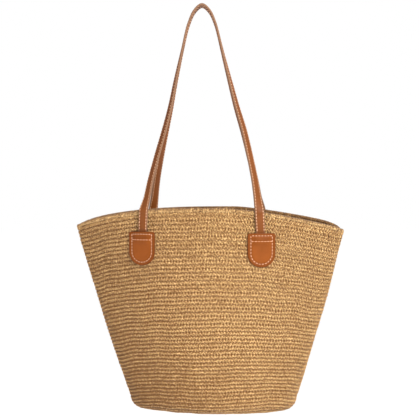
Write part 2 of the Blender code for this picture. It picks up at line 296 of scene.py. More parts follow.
@dataclass
class RowMap:
    """Where the worked rounds lie: from a row and a turn to a place on the basket.

    Row 0 starts at the top edge, and the last row ends at the chain in the middle of the
    base. A turn goes once round, from the left fold over the front, and every row is as
    long from turn to turn. warps says how far the rows are from even down a column at the
    left, in the middle and at the right: below 0, they are wider apart at the top. wander
    moves the rows up and down, in rows, and undulation moves them in and out. Both come
    from seeded waves and fade out over the top calm_rows.
    """

    form: BasketForm
    rows: int = 63
    chain_left: float = -0.035
    chain_right: float = 0.072
    warps: tuple[float, float, float] = (-0.08, -0.04, 0.02)
    flank_samples: int = 150
    fold_samples: int = 12
    wall_samples: int = 110
    edge_samples: int = 14
    base_samples: int = 30
    row_samples: int = 8
    turn_samples: int = 1400
    wander: float = 0.10
    undulation: float = 0.0004
    calm_rows: float = 3.0
    wave_seed: int = 11
    wave_count: int = 7
    most_waves_round: float = 19.0
    most_waves_down: float = 4.0
    places: np.ndarray = field(init=False, repr=False)
    normals: np.ndarray = field(init=False, repr=False)
    girths: np.ndarray = field(init=False, repr=False)
    waves: np.ndarray = field(init=False, repr=False)

    def __post_init__(self) -> None:
        """Sample the form once and keep the samples."""
        grid = self._even_down(self._sample_form())
        self.places, self.girths = self._even_round(grid)
        down = np.gradient(self.places, axis=0)
        ahead = np.roll(self.places[:, :-1], -1, axis=1)
        behind = np.roll(self.places[:, :-1], 1, axis=1)
        along = ahead - behind
        along = np.concatenate([along, along[:, :1]], axis=1)
        self.normals = unit(np.cross(down, along))
        random = np.random.default_rng(self.wave_seed)
        self.waves = random.uniform(-1.0, 1.0, (2, self.wave_count, 3))
        self.waves[:, :, 0] = np.round(self.waves[:, :, 0] * self.most_waves_round)
        self.waves[:, :, 1] *= self.most_waves_down

    def _columns(self) -> tuple[np.ndarray, np.ndarray, np.ndarray]:
        """Set out the columns, once round from the left fold.

        Returns:
            Each column's side, across and fan.
        """
        steps = -np.cos(np.pi * np.arange(self.flank_samples + 1) / self.flank_samples)
        fans = 2.0 * np.arange(1, self.fold_samples) / self.fold_samples - 1.0
        flat = np.full_like(steps, np.nan)
        across = np.concatenate([steps, np.ones_like(fans), -steps, -np.ones_like(fans)])
        fan = np.concatenate([flat, fans, flat, fans])
        half = len(steps) + len(fans)
        side = np.concatenate([np.full(half, Side.FRONT.value), np.full(half, Side.BACK.value)])
        return side, across, fan

    def _sample_form(self) -> np.ndarray:
        """Sample the outer surface, from the top edge down and in to the chain.

        Returns:
            Points by level and column.
        """
        form = self.form
        side, across, fan = self._columns()
        edge = form.base_edge_radius
        levels = np.linspace(1.0, 0.0, self.wall_samples)[:, None]
        x, y = form.plan(levels, side, across, fan, 0.0)
        z = form.base_z + blend(edge, form.wall_height(side, across), levels)
        wall = np.stack([x, y, z], axis=-1)
        turns = np.linspace(0.0, np.pi / 2, self.edge_samples)[1:, None]
        x, y = form.plan(0.0, side, across, fan, edge * (1.0 - np.cos(turns)))
        z = form.base_z + edge * (1.0 - np.sin(turns)) + 0.0 * x
        rounding = np.stack([x, y, z], axis=-1)
        chain_x = blend(self.chain_left, self.chain_right, (across + 1.0) / 2)
        chain = np.stack([chain_x, 0.0 * chain_x, 0.0 * chain_x + form.base_z], axis=-1)
        shares = np.linspace(0.0, 1.0, self.base_samples)[1:, None, None]
        return np.concatenate([wall, rounding, blend(rounding[-1], chain, shares)])

    def _even_down(self, grid: np.ndarray) -> np.ndarray:
        """Space the samples evenly down each column, apart from the warps.

        Args:
            grid: Points by level and column.

        Returns:
            Points by step down and column.
        """
        steps = np.linalg.norm(np.diff(grid, axis=0), axis=-1)
        down = np.concatenate([np.zeros((1, grid.shape[1])), np.cumsum(steps, axis=0)])
        down /= down[-1]
        _, across, _ = self._columns()
        warp = np.interp(across, (-1.0, 0.0, 1.0), self.warps)
        down += warp * down * (1.0 - down)
        fine = np.linspace(0.0, 1.0, self.rows * self.row_samples + 1)
        even = np.empty((len(fine), grid.shape[1], 3))
        for column in range(grid.shape[1]):
            for axis in range(3):
                even[:, column, axis] = np.interp(fine, down[:, column], grid[:, column, axis])
        return even

    def _even_round(self, grid: np.ndarray) -> tuple[np.ndarray, np.ndarray]:
        """Space the samples evenly round each row.

        Args:
            grid: Points by step down and column.

        Returns:
            Points by step down and step round, and the girth at each step down.
        """
        closed = np.concatenate([grid, grid[:, :1]], axis=1)
        steps = np.linalg.norm(np.diff(closed, axis=1), axis=-1)
        around = np.concatenate([np.zeros((len(grid), 1)), np.cumsum(steps, axis=1)], axis=1)
        turns = np.linspace(0.0, 1.0, self.turn_samples + 1)
        even = np.empty((len(grid), len(turns), 3))
        for row in range(len(grid)):
            for axis in range(3):
                share = around[row] / around[row, -1]
                even[row, :, axis] = np.interp(turns, share, closed[row, :, axis])
        return even, around[:, -1]

    def girth(self, row: Numbers) -> Numbers:
        """Return the way round at a row."""
        return np.interp(row * self.row_samples, np.arange(len(self.girths)), self.girths)

    def _drift(self, row: np.ndarray, turn: np.ndarray, waves: np.ndarray) -> np.ndarray:
        """Add up waves over the basket.

        Args:
            row: Rows down from the top edge.
            turn: Shares of the way round.
            waves: Each wave's times round, times down and start.

        Returns:
            The sum, about -1 to 1.
        """
        total = np.zeros(np.broadcast(row, turn).shape)
        for times, drop, start in waves:
            total += np.sin(2.0 * np.pi * (times * turn + drop * row / self.rows + start))
        return total / math.sqrt(len(waves))

    def spot(
        self, row: np.ndarray, turn: np.ndarray, out: Numbers,
    ) -> tuple[np.ndarray, np.ndarray]:
        """Find places on the basket.

        Args:
            row: Rows down from the top edge, not always whole.
            turn: Share of the way round.
            out: Distance out from the outer surface.

        Returns:
            The places and the outward normals there.
        """
        row, turn = np.broadcast_arrays(np.asarray(row, float), np.asarray(turn, float))
        calm = np.clip(row / self.calm_rows, 0.0, 1.0)
        row = row + self.wander * calm * self._drift(row, turn, self.waves[0])
        out = out + self.undulation * calm * self._drift(row, turn, self.waves[1])
        down = np.clip(row, 0.0, self.rows) * self.row_samples
        upper = np.minimum(down.astype(int), len(self.places) - 2)
        around = (turn % 1.0) * self.turn_samples
        left = np.minimum(around.astype(int), self.turn_samples - 1)
        found = []
        for samples in (self.places, self.normals):
            share = (around - left)[..., None]
            high = blend(samples[upper, left], samples[upper, left + 1], share)
            low = blend(samples[upper + 1, left], samples[upper + 1, left + 1], share)
            found.append(blend(high, low, (down - upper)[..., None]))
        place, normal = found[0], unit(found[1])
        return place + normal * np.asarray(out)[..., None], normal


def deselect_all() -> None:
    """Leave object mode's selection empty."""
    if bpy.context.object and bpy.context.object.mode != "OBJECT":
        bpy.ops.object.mode_set(mode="OBJECT")
    bpy.ops.object.select_all(action="DESELECT")


def select_where(test: Callable[[Vector], bool]) -> None:
    """Select the vertices of the mesh in edit mode whose place passes a test.

    Args:
        test: Says of a place whether its vertex is selected.
    """
    mesh = bmesh.from_edit_mesh(bpy.context.object.data)
    for vertex in mesh.verts:
        vertex.select_set(test(vertex.co))
    mesh.select_flush(True)
    mesh.select_flush(False)
    bmesh.update_edit_mesh(bpy.context.object.data)


def face_outwards() -> None:
    """Turn all faces of the mesh in edit mode outwards, and go back to object mode."""
    bpy.ops.mesh.select_all(action="SELECT")
    bpy.ops.mesh.normals_make_consistent(inside=False)
    bpy.ops.object.mode_set(mode="OBJECT")


def make_consistent(piece: bpy.types.Object) -> None:
    """Turn all faces of a closed piece outwards.

    Args:
        piece: The mesh object.
    """
    deselect_all()
    bpy.context.view_layer.objects.active = piece
    piece.select_set(True)
    bpy.ops.object.mode_set(mode="EDIT")
    face_outwards()


def mesh_from_arrays(
    name: str, points: np.ndarray, faces: Sequence[np.ndarray],
) -> bpy.types.Object:
    """Make a smooth mesh object from arrays.

    Args:
        name: The object's name.
        points: Vertices, one in each row.
        faces: Arrays of vertex numbers, one face in each row, each array of one length.

    Returns:
        The object, linked to the scene.
    """
    data = bpy.data.meshes.new(name)
    corners = np.concatenate([block.ravel() for block in faces]).astype(np.int32)
    sizes = np.concatenate([np.full(len(block), block.shape[1]) for block in faces])
    starts = np.concatenate([[0], np.cumsum(sizes)[:-1]]).astype(np.int32)
    data.vertices.add(len(points))
    data.vertices.foreach_set("co", np.asarray(points, np.float32).ravel())
    data.loops.add(len(corners))
    data.loops.foreach_set("vertex_index", corners)
    data.polygons.add(len(sizes))
    data.polygons.foreach_set("loop_start", starts)
    data.update(calc_edges=True)
    data.validate()
    data.shade_smooth()
    piece = bpy.data.objects.new(name, data)
    bpy.context.scene.collection.objects.link(piece)
    return piece


def note_points(piece: bpy.types.Object, name: str, values: np.ndarray) -> None:
    """Keep a number or a vector for each vertex, for the materials to read.

    Args:
        piece: The mesh object.
        name: The attribute's name.
        values: One number or one vector for each vertex.
    """
    kind, key = ("FLOAT", "value") if values.ndim == 1 else ("FLOAT_VECTOR", "vector")
    attribute = piece.data.attributes.new(name, kind, "POINT")
    attribute.data.foreach_set(key, np.asarray(values, np.float32).ravel())


def note_straw(piece: bpy.types.Object, tones: np.ndarray, grain: np.ndarray) -> None:
    """Keep how light each vertex is and its place on its strand."""
    note_points(piece, "tone", tones)
    note_points(piece, "grain", grain)


def loft(rings: np.ndarray, closed: bool, capped: bool) -> tuple[np.ndarray, list[np.ndarray]]:
    """Join rings of points with quads.

    Args:
        rings: Points by ring and place round the ring.
        closed: Whether the last ring meets the first.
        capped: Whether the first and last ring are filled.

    Returns:
        The points, one in each row, and the faces.
    """
    count, around = rings.shape[:2]
    number = np.arange(count * around).reshape(count, around)
    upper = number if closed else number[:-1]
    lower = np.roll(number, -1, axis=0) if closed else number[1:]
    quads = np.stack(
        [upper, lower, np.roll(lower, -1, axis=1), np.roll(upper, -1, axis=1)], axis=-1,
    ).reshape(-1, 4)
    faces = [quads]
    if capped:
        faces += [number[:1], number[-1:, ::-1]]
    return rings.reshape(-1, 3), faces


def oval_rings(
    centres: np.ndarray, across: np.ndarray, out: np.ndarray, half_width: Numbers,
    half_height: Numbers, sides: int,
) -> np.ndarray:
    """Put an oval ring round each point of a line.

    Args:
        centres: The line's points, one in each row.
        across: The way across at each of them.
        out: The way out at each of them.
        half_width: Half the ovals' width, one number or one for each ring.
        half_height: Half their height.
        sides: How many points a ring has.

    Returns:
        Points by ring and place round the ring.
    """
    angles = 2.0 * np.pi * np.arange(sides) / sides
    half_width = np.broadcast_to(half_width, len(centres))[:, None, None]
    half_height = np.broadcast_to(half_height, len(centres))[:, None, None]
    wide = across[:, None] * (np.cos(angles)[None, :, None] * half_width)
    high = out[:, None] * (np.sin(angles)[None, :, None] * half_height)
    return centres[:, None] + wide + high


def line(start: tuple[float, float], end: tuple[float, float], steps: int) -> np.ndarray:
    """Return flat points from a start to just short of an end."""
    shares = np.linspace(0.0, 1.0, steps, endpoint=False)[:, None]
    return blend(np.array(start), np.array(end), shares)


def arc(
    middle: tuple[float, float], radius: float, first: float, last: float, steps: int,
) -> np.ndarray:
    """Draw flat points on an arc.

    Args:
        middle: The arc's middle.
        radius: Its radius.
        first: The angle where it starts.
        last: The angle that it stops just short of.
        steps: How many points it has.

    Returns:
        The points, one in each row.
    """
    turns = np.linspace(first, last, steps, endpoint=False)[:, None]
    return np.array(middle) + radius * np.concatenate([np.cos(turns), np.sin(turns)], axis=1)


def place_key(place: Iterable[float], digits: int = 7) -> tuple[float, ...]:
    """Return a place rounded off, to look it up by."""
    return tuple(round(number, digits) for number in place)


def sort_parts(mesh: bmesh.types.BMesh) -> None:
    """Sort a mesh's points, edges and faces by place, as an extrusion leaves them in any order.

    Args:
        mesh: The mesh being edited.
    """
    for parts in (mesh.verts, mesh.edges, mesh.faces):
        places = {}
        for part in parts:
            corners = [part] if isinstance(part, bmesh.types.BMVert) else list(part.verts)
            middle = sum((vertex.co for vertex in corners), Vector()) / len(corners)
            places[part] = tuple(middle)
        ranks = {part: rank for rank, part in enumerate(sorted(places, key=places.get))}
        parts.sort(key=ranks.get)
        parts.index_update()


def extrude_through(name: str, rings: np.ndarray) -> bpy.types.Object:
    """Model a closed piece by hand: a filled circle, extruded and shaped ring after ring.

    Args:
        name: The object's name.
        rings: Points by ring and place round the ring, all rings alike in number.

    Returns:
        The object.
    """
    deselect_all()
    bpy.ops.mesh.primitive_circle_add(
        vertices=rings.shape[1], radius=1.0, fill_type="NGON", enter_editmode=True,
    )
    piece = bpy.context.object
    piece.name = piece.data.name = name
    mesh = bmesh.from_edit_mesh(piece.data)
    mesh.verts.ensure_lookup_table()
    order = np.argsort([math.atan2(-vertex.co.x, vertex.co.y) % math.tau for vertex in mesh.verts])
    ring = [mesh.verts[index] for index in order]
    for vertex, place in zip(ring, rings[0]):
        vertex.co = place
    for places in rings[1:]:
        before = {place_key(vertex.co): index for index, vertex in enumerate(ring)}
        bpy.ops.mesh.extrude_region()
        mesh = bmesh.from_edit_mesh(piece.data)
        raised = [vertex for vertex in mesh.verts if vertex.select]
        ring = sorted(raised, key=lambda vertex: before[place_key(vertex.co)])
        for vertex, place in zip(ring, places):
            vertex.co = place
    sort_parts(mesh)
    bmesh.update_edit_mesh(piece.data)
    face_outwards()
    return piece


@dataclass(frozen=True)
class StrandModel:
    """One strand, modelled once and then laid many times.

    rings holds, for each ring, its place along the strand and its radius there. The strand
    runs from -0.5 to 0.5 along z and tapers to a point at both ends. Places closer than
    near count as one.
    """

    sides: int
    rings: tuple[tuple[float, float], ...]
    near: float = 0.0001

    def model(self) -> tuple[np.ndarray, list[np.ndarray]]:
        """Model the strand by hand and take its shape.

        Returns:
            Its points and its faces, triangles first.
        """
        places = [place for place, _ in self.rings]
        near = self.near
        deselect_all()
        bpy.ops.mesh.primitive_cylinder_add(
            vertices=self.sides, radius=1.0, depth=places[-1] - places[0],
            end_fill_type="TRIFAN", enter_editmode=True,
        )
        piece = bpy.context.object
        for place in places[1:-1]:
            bpy.ops.mesh.select_all(action="SELECT")
            bpy.ops.mesh.bisect(plane_co=(0.0, 0.0, place), plane_no=(0.0, 0.0, 1.0))
        for place, radius in self.rings:
            select_where(lambda spot, z=place: abs(spot.z - z) < near and spot.xy.length > near)
            bpy.ops.transform.resize(value=(radius, radius, 1.0))
        for way in (-1.0, 1.0):
            select_where(lambda spot, way=way: spot.xy.length < near and spot.z * way > 0.0)
            end = 0.5 - abs(places[0])
            bpy.ops.transform.translate(value=(0.0, 0.0, way * end))
        bpy.ops.object.mode_set(mode="OBJECT")
        points = np.array([vertex.co for vertex in piece.data.vertices])
        faces = [list(face.vertices) for face in piece.data.polygons]
        bpy.data.objects.remove(piece, do_unlink=True)
        return points, [
            np.array([face for face in faces if len(face) == size]) for size in (3, 4)
        ]


@dataclass
class StrandField:
    """Many strands of one model, each laid along its own short path."""

    model: StrandModel

    def __post_init__(self) -> None:
        """Model the strand."""
        self.points, self.faces = self.model.model()
        self.stations, self.station_of = np.unique(
            np.round(self.points[:, 2] + 0.5, 5), return_inverse=True,
        )

    def lay(
        self, name: str, centres: np.ndarray, outs: np.ndarray, half_width: Numbers,
        half_thickness: Numbers, tones: np.ndarray, seed: int,
    ) -> bpy.types.Object:
        """Lay one strand along each path.

        Args:
            name: The object's name.
            centres: Points by strand and station, at the shares in stations.
            outs: The outward way at each of them.
            half_width: Half the strands' width, one number or one for each strand.
            half_thickness: Half their thickness.
            tones: How light each strand is, about 0 to 1, or how light it is at each station.
            seed: Seed of the strands' own shifts of grain.

        Returns:
            The object with all the strands, with attributes tone and grain.
        """
        along = unit(np.gradient(centres, self.stations, axis=1))
        across = unit(np.cross(along, outs))
        outs = np.cross(across, along)
        count = len(centres)
        half_width = np.broadcast_to(half_width, count)[:, None]
        half_thickness = np.broadcast_to(half_thickness, count)[:, None]
        side = self.points[:, 0] * half_width
        rise = self.points[:, 1] * half_thickness
        station = self.station_of
        laid = (
            centres[:, station] + across[:, station] * side[..., None]
            + outs[:, station] * rise[..., None]
        )
        first = (np.arange(count) * len(self.points))[:, None, None]
        faces = [(block + first).reshape(-1, block.shape[1]) for block in self.faces]
        piece = mesh_from_arrays(name, laid.reshape(-1, 3), faces)
        self._face_outwards(piece)
        lengths = np.linalg.norm(centres[:, -1] - centres[:, 0], axis=-1)[:, None]
        shift = np.random.default_rng(seed).uniform(-1.0, 1.0, (count, 3))
        grain = np.stack([side, rise, self.points[:, 2] * lengths], axis=-1) + shift[:, None]
        tones = tones[:, None] if tones.ndim == 1 else tones
        tones = np.broadcast_to(tones, centres.shape[:2])
        note_straw(piece, tones[:, station].ravel(), grain.reshape(-1, 3))
        return piece

    def _face_outwards(self, piece: bpy.types.Object) -> None:
        """Turn the faces round if the first strand's point in.

        Args:
            piece: The object with all the strands.
        """
        data = piece.data
        mine = len(self.points)
        middle = sum((data.vertices[index].co for index in range(mine)), Vector()) / mine
        first = [face for face in data.polygons[: len(self.faces[0])] if face.vertices[0] < mine]
        if sum((face.center - middle).dot(face.normal) for face in first) < 0.0:
            data.flip_normals()


class NodeSketch:
    """A material's nodes, drawn one after another."""

    def __init__(self, name: str) -> None:
        """Start a material with a Principled shader.

        Args:
            name: The material's name.
        """
        self.material = bpy.data.materials.new(name)
        self.material.use_nodes = True
        self.tree = self.material.node_tree
        self.shader = self.tree.nodes["Principled BSDF"]

    def node(self, kind: str, settings: dict | None = None, **inputs) -> bpy.types.Node:
        """Add a node.

        Args:
            kind: The node's type, without the ShaderNode before it.
            settings: The node's own settings.
            inputs: Values or sockets for its inputs, by name with _ for a space.

        Returns:
            The node.
        """
        made = self.tree.nodes.new("ShaderNode" + kind)
        for key, value in (settings or {}).items():
            setattr(made, key, value)
        for key, value in inputs.items():
            self.feed(made.inputs[key.replace("_", " ")], value)
        return made

    def feed(self, socket: bpy.types.NodeSocket, value: object) -> None:
        """Set a socket to a value, or link it to another socket.

        Args:
            socket: The input.
            value: The value or the other socket.
        """
        if isinstance(value, bpy.types.NodeSocket):
            self.tree.links.new(value, socket)
        else:
            socket.default_value = value

    def attribute(self, name: str, output: str = "Fac") -> bpy.types.NodeSocket:
        """Read an attribute of the piece, as a number or as another output."""
        return self.node("Attribute", {"attribute_name": name}).outputs[output]

    def place(self) -> bpy.types.NodeSocket:
        """Read the place on the piece, in object coordinates."""
        return self.node("TexCoord").outputs["Object"]

    def noise(
        self, place: bpy.types.NodeSocket, size: float, detail: float,
    ) -> bpy.types.NodeSocket:
        """Add soft noise of a size and return its strength, about 0.5 in the middle."""
        made = self.node("TexNoise", Vector=place, Scale=1.0 / size, Detail=detail)
        return made.outputs["Fac"]

    def ramp(
        self, fac: bpy.types.NodeSocket, stops: Sequence[tuple[float, Color]],
    ) -> bpy.types.NodeSocket:
        """Add a colour ramp.

        Args:
            fac: What it reads.
            stops: Places and colours.

        Returns:
            The colour socket.
        """
        made = self.node("ValToRGB", Fac=fac)
        elements = made.color_ramp.elements
        while len(elements) < len(stops):
            elements.new(0.5)
        for element, (place, color) in zip(elements, stops):
            element.position = place
            element.color = (*color, 1.0)
        return made.outputs["Color"]

    def math(self, operation: str, *values: object) -> bpy.types.NodeSocket:
        """Add a Math node.

        Args:
            operation: What it does.
            values: Numbers or sockets for its inputs.

        Returns:
            Its result.
        """
        made = self.node("Math", {"operation": operation})
        for socket, value in zip(made.inputs, values):
            self.feed(socket, value)
        return made.outputs[0]

    def sway(self, value: object, noise: object, strength: float) -> bpy.types.NodeSocket:
        """Let a value sway with noise, by up to half the strength each way."""
        return self.math("MULTIPLY_ADD", self.math("SUBTRACT", noise, 0.5), strength, value)

    def mix(self, fac: object, one: object, other: object) -> bpy.types.NodeSocket:
        """Mix two colours.

        Args:
            fac: How much of the other.
            one: A colour or a socket.
            other: A colour or a socket.

        Returns:
            The mixed colour's socket.
        """
        made = self.node("Mix", {"data_type": "RGBA"})
        self.feed(made.inputs[0], fac)
        for socket, value in zip((made.inputs[6], made.inputs[7]), (one, other)):
            self.feed(socket, (*value, 1.0) if isinstance(value, tuple) else value)
        return made.outputs[2]

    def emboss(self, height: bpy.types.NodeSocket, strength: float, depth: float) -> None:
        """Give the surface a relief."""
        bump = self.node("Bump", Height=height, Strength=strength, Distance=depth)
        self.feed(self.shader.inputs["Normal"], bump.outputs["Normal"])

    def finish(self, **inputs: object) -> bpy.types.Material:
        """Set or link the shader's inputs and end the sketch.

        Args:
            inputs: Values or sockets by the input's name, with _ for a space.

        Returns:
            The material.
        """
        for key, value in inputs.items():
            self.feed(self.shader.inputs[key.replace("_", " ")], value)
        return self.material


@dataclass(frozen=True)
class StrawFinish:
    """Twisted paper straw: fine fibres along each strand, each strand of its own tone.

    It reads the attributes tone, which is how light the strand is, painted shade included,
    and grain, which is the place on the strand. Each strength says how far its pattern moves
    the tone.
    """

    name: str
    dark: Color
    middle: Color
    light: Color
    roughness: float = 0.625
    roughness_sway: float = 0.25
    specular: float = 0.35
    sheen: float = 0.12
    sheen_roughness: float = 0.5
    fibre: float = 0.00035
    fibre_length: float = 0.006
    fibre_strength: float = 0.9
    fibre_relief: float = 0.6
    fibre_depth: float = 0.00012
    fleck: float = 0.0010
    fleck_strength: float = 4.4
    patch: float = 0.09
    patch_strength: float = 0.08

    def material(self) -> bpy.types.Material:
        """Build the material.

        Returns:
            The material.
        """
        sketch = NodeSketch(self.name)
        fine = (1.0 / self.fibre, 1.0 / self.fibre, 1.0 / self.fibre_length)
        grain = sketch.node("Mapping", Vector=sketch.attribute("grain", "Vector"), Scale=fine)
        fibres = sketch.noise(grain.outputs["Vector"], 1.0, 3.0)
        place = sketch.place()
        lightness = sketch.sway(sketch.attribute("tone"), fibres, self.fibre_strength)
        broad = sketch.noise(place, self.patch, 2.0)
        lightness = sketch.sway(lightness, broad, self.patch_strength)
        flecks = sketch.noise(place, self.fleck, 1.0)
        lightness = sketch.sway(lightness, flecks, self.fleck_strength)
        sketch.emboss(fibres, self.fibre_relief, self.fibre_depth)
        return sketch.finish(
            Base_Color=sketch.ramp(
                lightness, [(0.0, self.dark), (0.5, self.middle), (1.0, self.light)],
            ),
            Roughness=sketch.sway(self.roughness, fibres, self.roughness_sway),
            Specular_IOR_Level=self.specular,
            Sheen_Weight=self.sheen,
            Sheen_Roughness=self.sheen_roughness,
        )


@dataclass(frozen=True)
class LeatherFinish:
    """Smooth tanned leather: fine pebbled grain, soft mottling and edges of their own tone.

    It reads the attribute edge, which is 1 along cut edges and stitch lines; on the patches
    it also marks painted shade between the seams. The shares say how much of the mottle's
    or the edge's colour is mixed in.
    """

    name: str
    color: Color
    mottle: Color
    edge: Color
    roughness: float = 0.53
    roughness_sway: float = 0.22
    specular: float = 0.14
    coat: float = 0.02
    coat_roughness: float = 0.4
    grain: float = 0.0007
    grain_relief: float = 0.5
    grain_depth: float = 0.00006
    pore: float = 0.00175
    pore_height: float = 0.8
    pore_share: float = 0.3
    cloud: float = 0.018
    cloud_start: float = 0.35
    cloud_end: float = 0.65
    cloud_share: float = 0.7
    edge_share: float = 0.75

    def material(self) -> bpy.types.Material:
        """Build the material.

        Returns:
            The material.
        """
        sketch = NodeSketch(self.name)
        place = sketch.place()
        pebbles = sketch.node(
            "TexVoronoi", {"feature": "F1"}, Vector=place, Scale=1.0 / self.grain,
        ).outputs["Distance"]
        pores = sketch.noise(place, self.pore, 4.0)
        clouds = sketch.ramp(
            sketch.noise(place, self.cloud, 3.0),
            [(self.cloud_start, (0.0, 0.0, 0.0)), (self.cloud_end, (1.0, 1.0, 1.0))],
        )
        color = self.color
        for pattern, share, other in (
            (clouds, self.cloud_share, self.mottle),
            (pores, self.pore_share, self.mottle),
            (sketch.attribute("edge"), self.edge_share, self.edge),
        ):
            color = sketch.mix(sketch.math("MULTIPLY", pattern, share), color, other)
        height = sketch.math("MULTIPLY_ADD", pores, self.pore_height, pebbles)
        sketch.emboss(height, self.grain_relief, self.grain_depth)
        return sketch.finish(
            Base_Color=color,
            Roughness=sketch.sway(self.roughness, pores, self.roughness_sway),
            Specular_IOR_Level=self.specular,
            Coat_Weight=self.coat,
            Coat_Roughness=self.coat_roughness,
        )


@dataclass(frozen=True)
class ThreadFinish:
    """Waxed sewing thread, with fine plies along each stitch.

    It reads the attributes tone, which is how light the stitch is, and grain, which is the
    place on the stitch.
    """

    name: str
    color: Color
    shade: Color
    roughness: float = 0.55
    ply: float = 0.00025
    ply_scale: float = 0.35
    ply_strength: float = 0.35
    ply_relief: float = 0.5
    shade_at: float = 0.2
    color_at: float = 0.8

    def material(self) -> bpy.types.Material:
        """Build the material.

        Returns:
            The material.
        """
        sketch = NodeSketch(self.name)
        plies = sketch.node(
            "TexWave", {"bands_direction": "DIAGONAL"}, Vector=sketch.attribute("grain", "Vector"),
            Scale=self.ply_scale / self.ply, Distortion=1.5, Detail=1.0,
        ).outputs["Fac"]
        tone = sketch.attribute("tone")
        lightness = sketch.math("MULTIPLY_ADD", plies, self.ply_strength, tone)
        stops = [(self.shade_at, self.shade), (self.color_at, self.color)]
        sketch.emboss(plies, self.ply_relief, self.ply / 2)
        return sketch.finish(Base_Color=sketch.ramp(lightness, stops), Roughness=self.roughness)


def dress(
    piece: bpy.types.Object, material: bpy.types.Material, replaces: Iterable[str] = (),
) -> None:
    """Give a piece its finish and its place in the frame.

    Args:
        piece: The object.
        material: Its material.
        replaces: CAD nodes that it stands for.
    """
    piece.data.materials.clear()
    piece.data.materials.append(material)
    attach(piece, BODY)
    if replaces:
        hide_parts(*replaces)
    piece.data.calc_loop_triangles()
    log.info("%s: %d triangles", piece.name, len(piece.data.loop_triangles))


@dataclass(frozen=True)
class StitchLeg:
    """One leg of a crochet stitch.

    from_across and to_across are shares of the stitch's width from its middle, and
    from_down and to_down are rows from the row's top. crest is how far out the top of its
    arch lies, and end_shade is how much darker its ends are than its middle: painted
    shade where the ends sink into the work.
    """

    from_across: float
    to_across: float
    from_down: float
    to_down: float
    half_width: float
    half_thickness: float
    crest: float
    end_shade: float


LEFT_LEG = StitchLeg(
    from_across=-0.52, to_across=0.26, from_down=-0.01, to_down=1.03,
    half_width=0.00128, half_thickness=0.00095, crest=0.00030, end_shade=0.18,
)
RIGHT_LEG = StitchLeg(
    from_across=0.56, to_across=0.18, from_down=0.04, to_down=1.00,
    half_width=0.00113, half_thickness=0.00080, crest=-0.00010, end_shade=0.20,
)


@dataclass(frozen=True)
class RowLook:
    """How the stitches of a row are drawn up.

    sunk is how far out their ends lie, end_shade and width are taken times a leg's own,
    reach stretches the legs over the next rows except near the left fold, tone lightens
    the row and fold_shade darkens it towards the folds. The darkening by end_shade and
    fold_shade, and the lower tone of the top rows and of the rows where the wall turns
    under, are painted shade.
    """

    row: float
    sunk: float
    end_shade: float
    width: float
    reach: float
    tone: float
    fold_shade: float


ROW_LOOKS = (
    RowLook(0.0, sunk=-0.0004, end_shade=0.4, width=1.14, reach=1.22, tone=-0.26, fold_shade=0.06),
    RowLook(12.0, sunk=-0.0012, end_shade=0.9, width=1.10, reach=1.14, tone=-0.18, fold_shade=0.10),
    RowLook(30.0, sunk=-0.0018, end_shade=2.2, width=1.02, reach=1.00, tone=-0.01, fold_shade=0.24),
    RowLook(47.0, sunk=-0.0021, end_shade=4.8, width=1.00, reach=1.00, tone=-0.04, fold_shade=0.24),
    RowLook(51.0, sunk=-0.0021, end_shade=4.2, width=1.00, reach=1.00, tone=-0.14, fold_shade=0.20),
)


def look_at(row: float) -> RowLook:
    """Return the look of a row, between those of the rows that are given."""
    given = np.array([astuple(look) for look in ROW_LOOKS])
    return RowLook(*(float(np.interp(row, given[:, 0], column)) for column in given.T))


@dataclass(frozen=True)
class Spreads:
    """How much the stitches differ from each other, as standard deviations.

    along and slant are shares of a stitch, lift is a share of a row, crest a length, width
    a share of the strand's width and tone a share of the straw's range of colours.
    """

    along: float = 0.04
    slant: float = 0.06
    lift: float = 0.02
    crest: float = 0.00012
    width: float = 0.09
    tone: float = 0.05


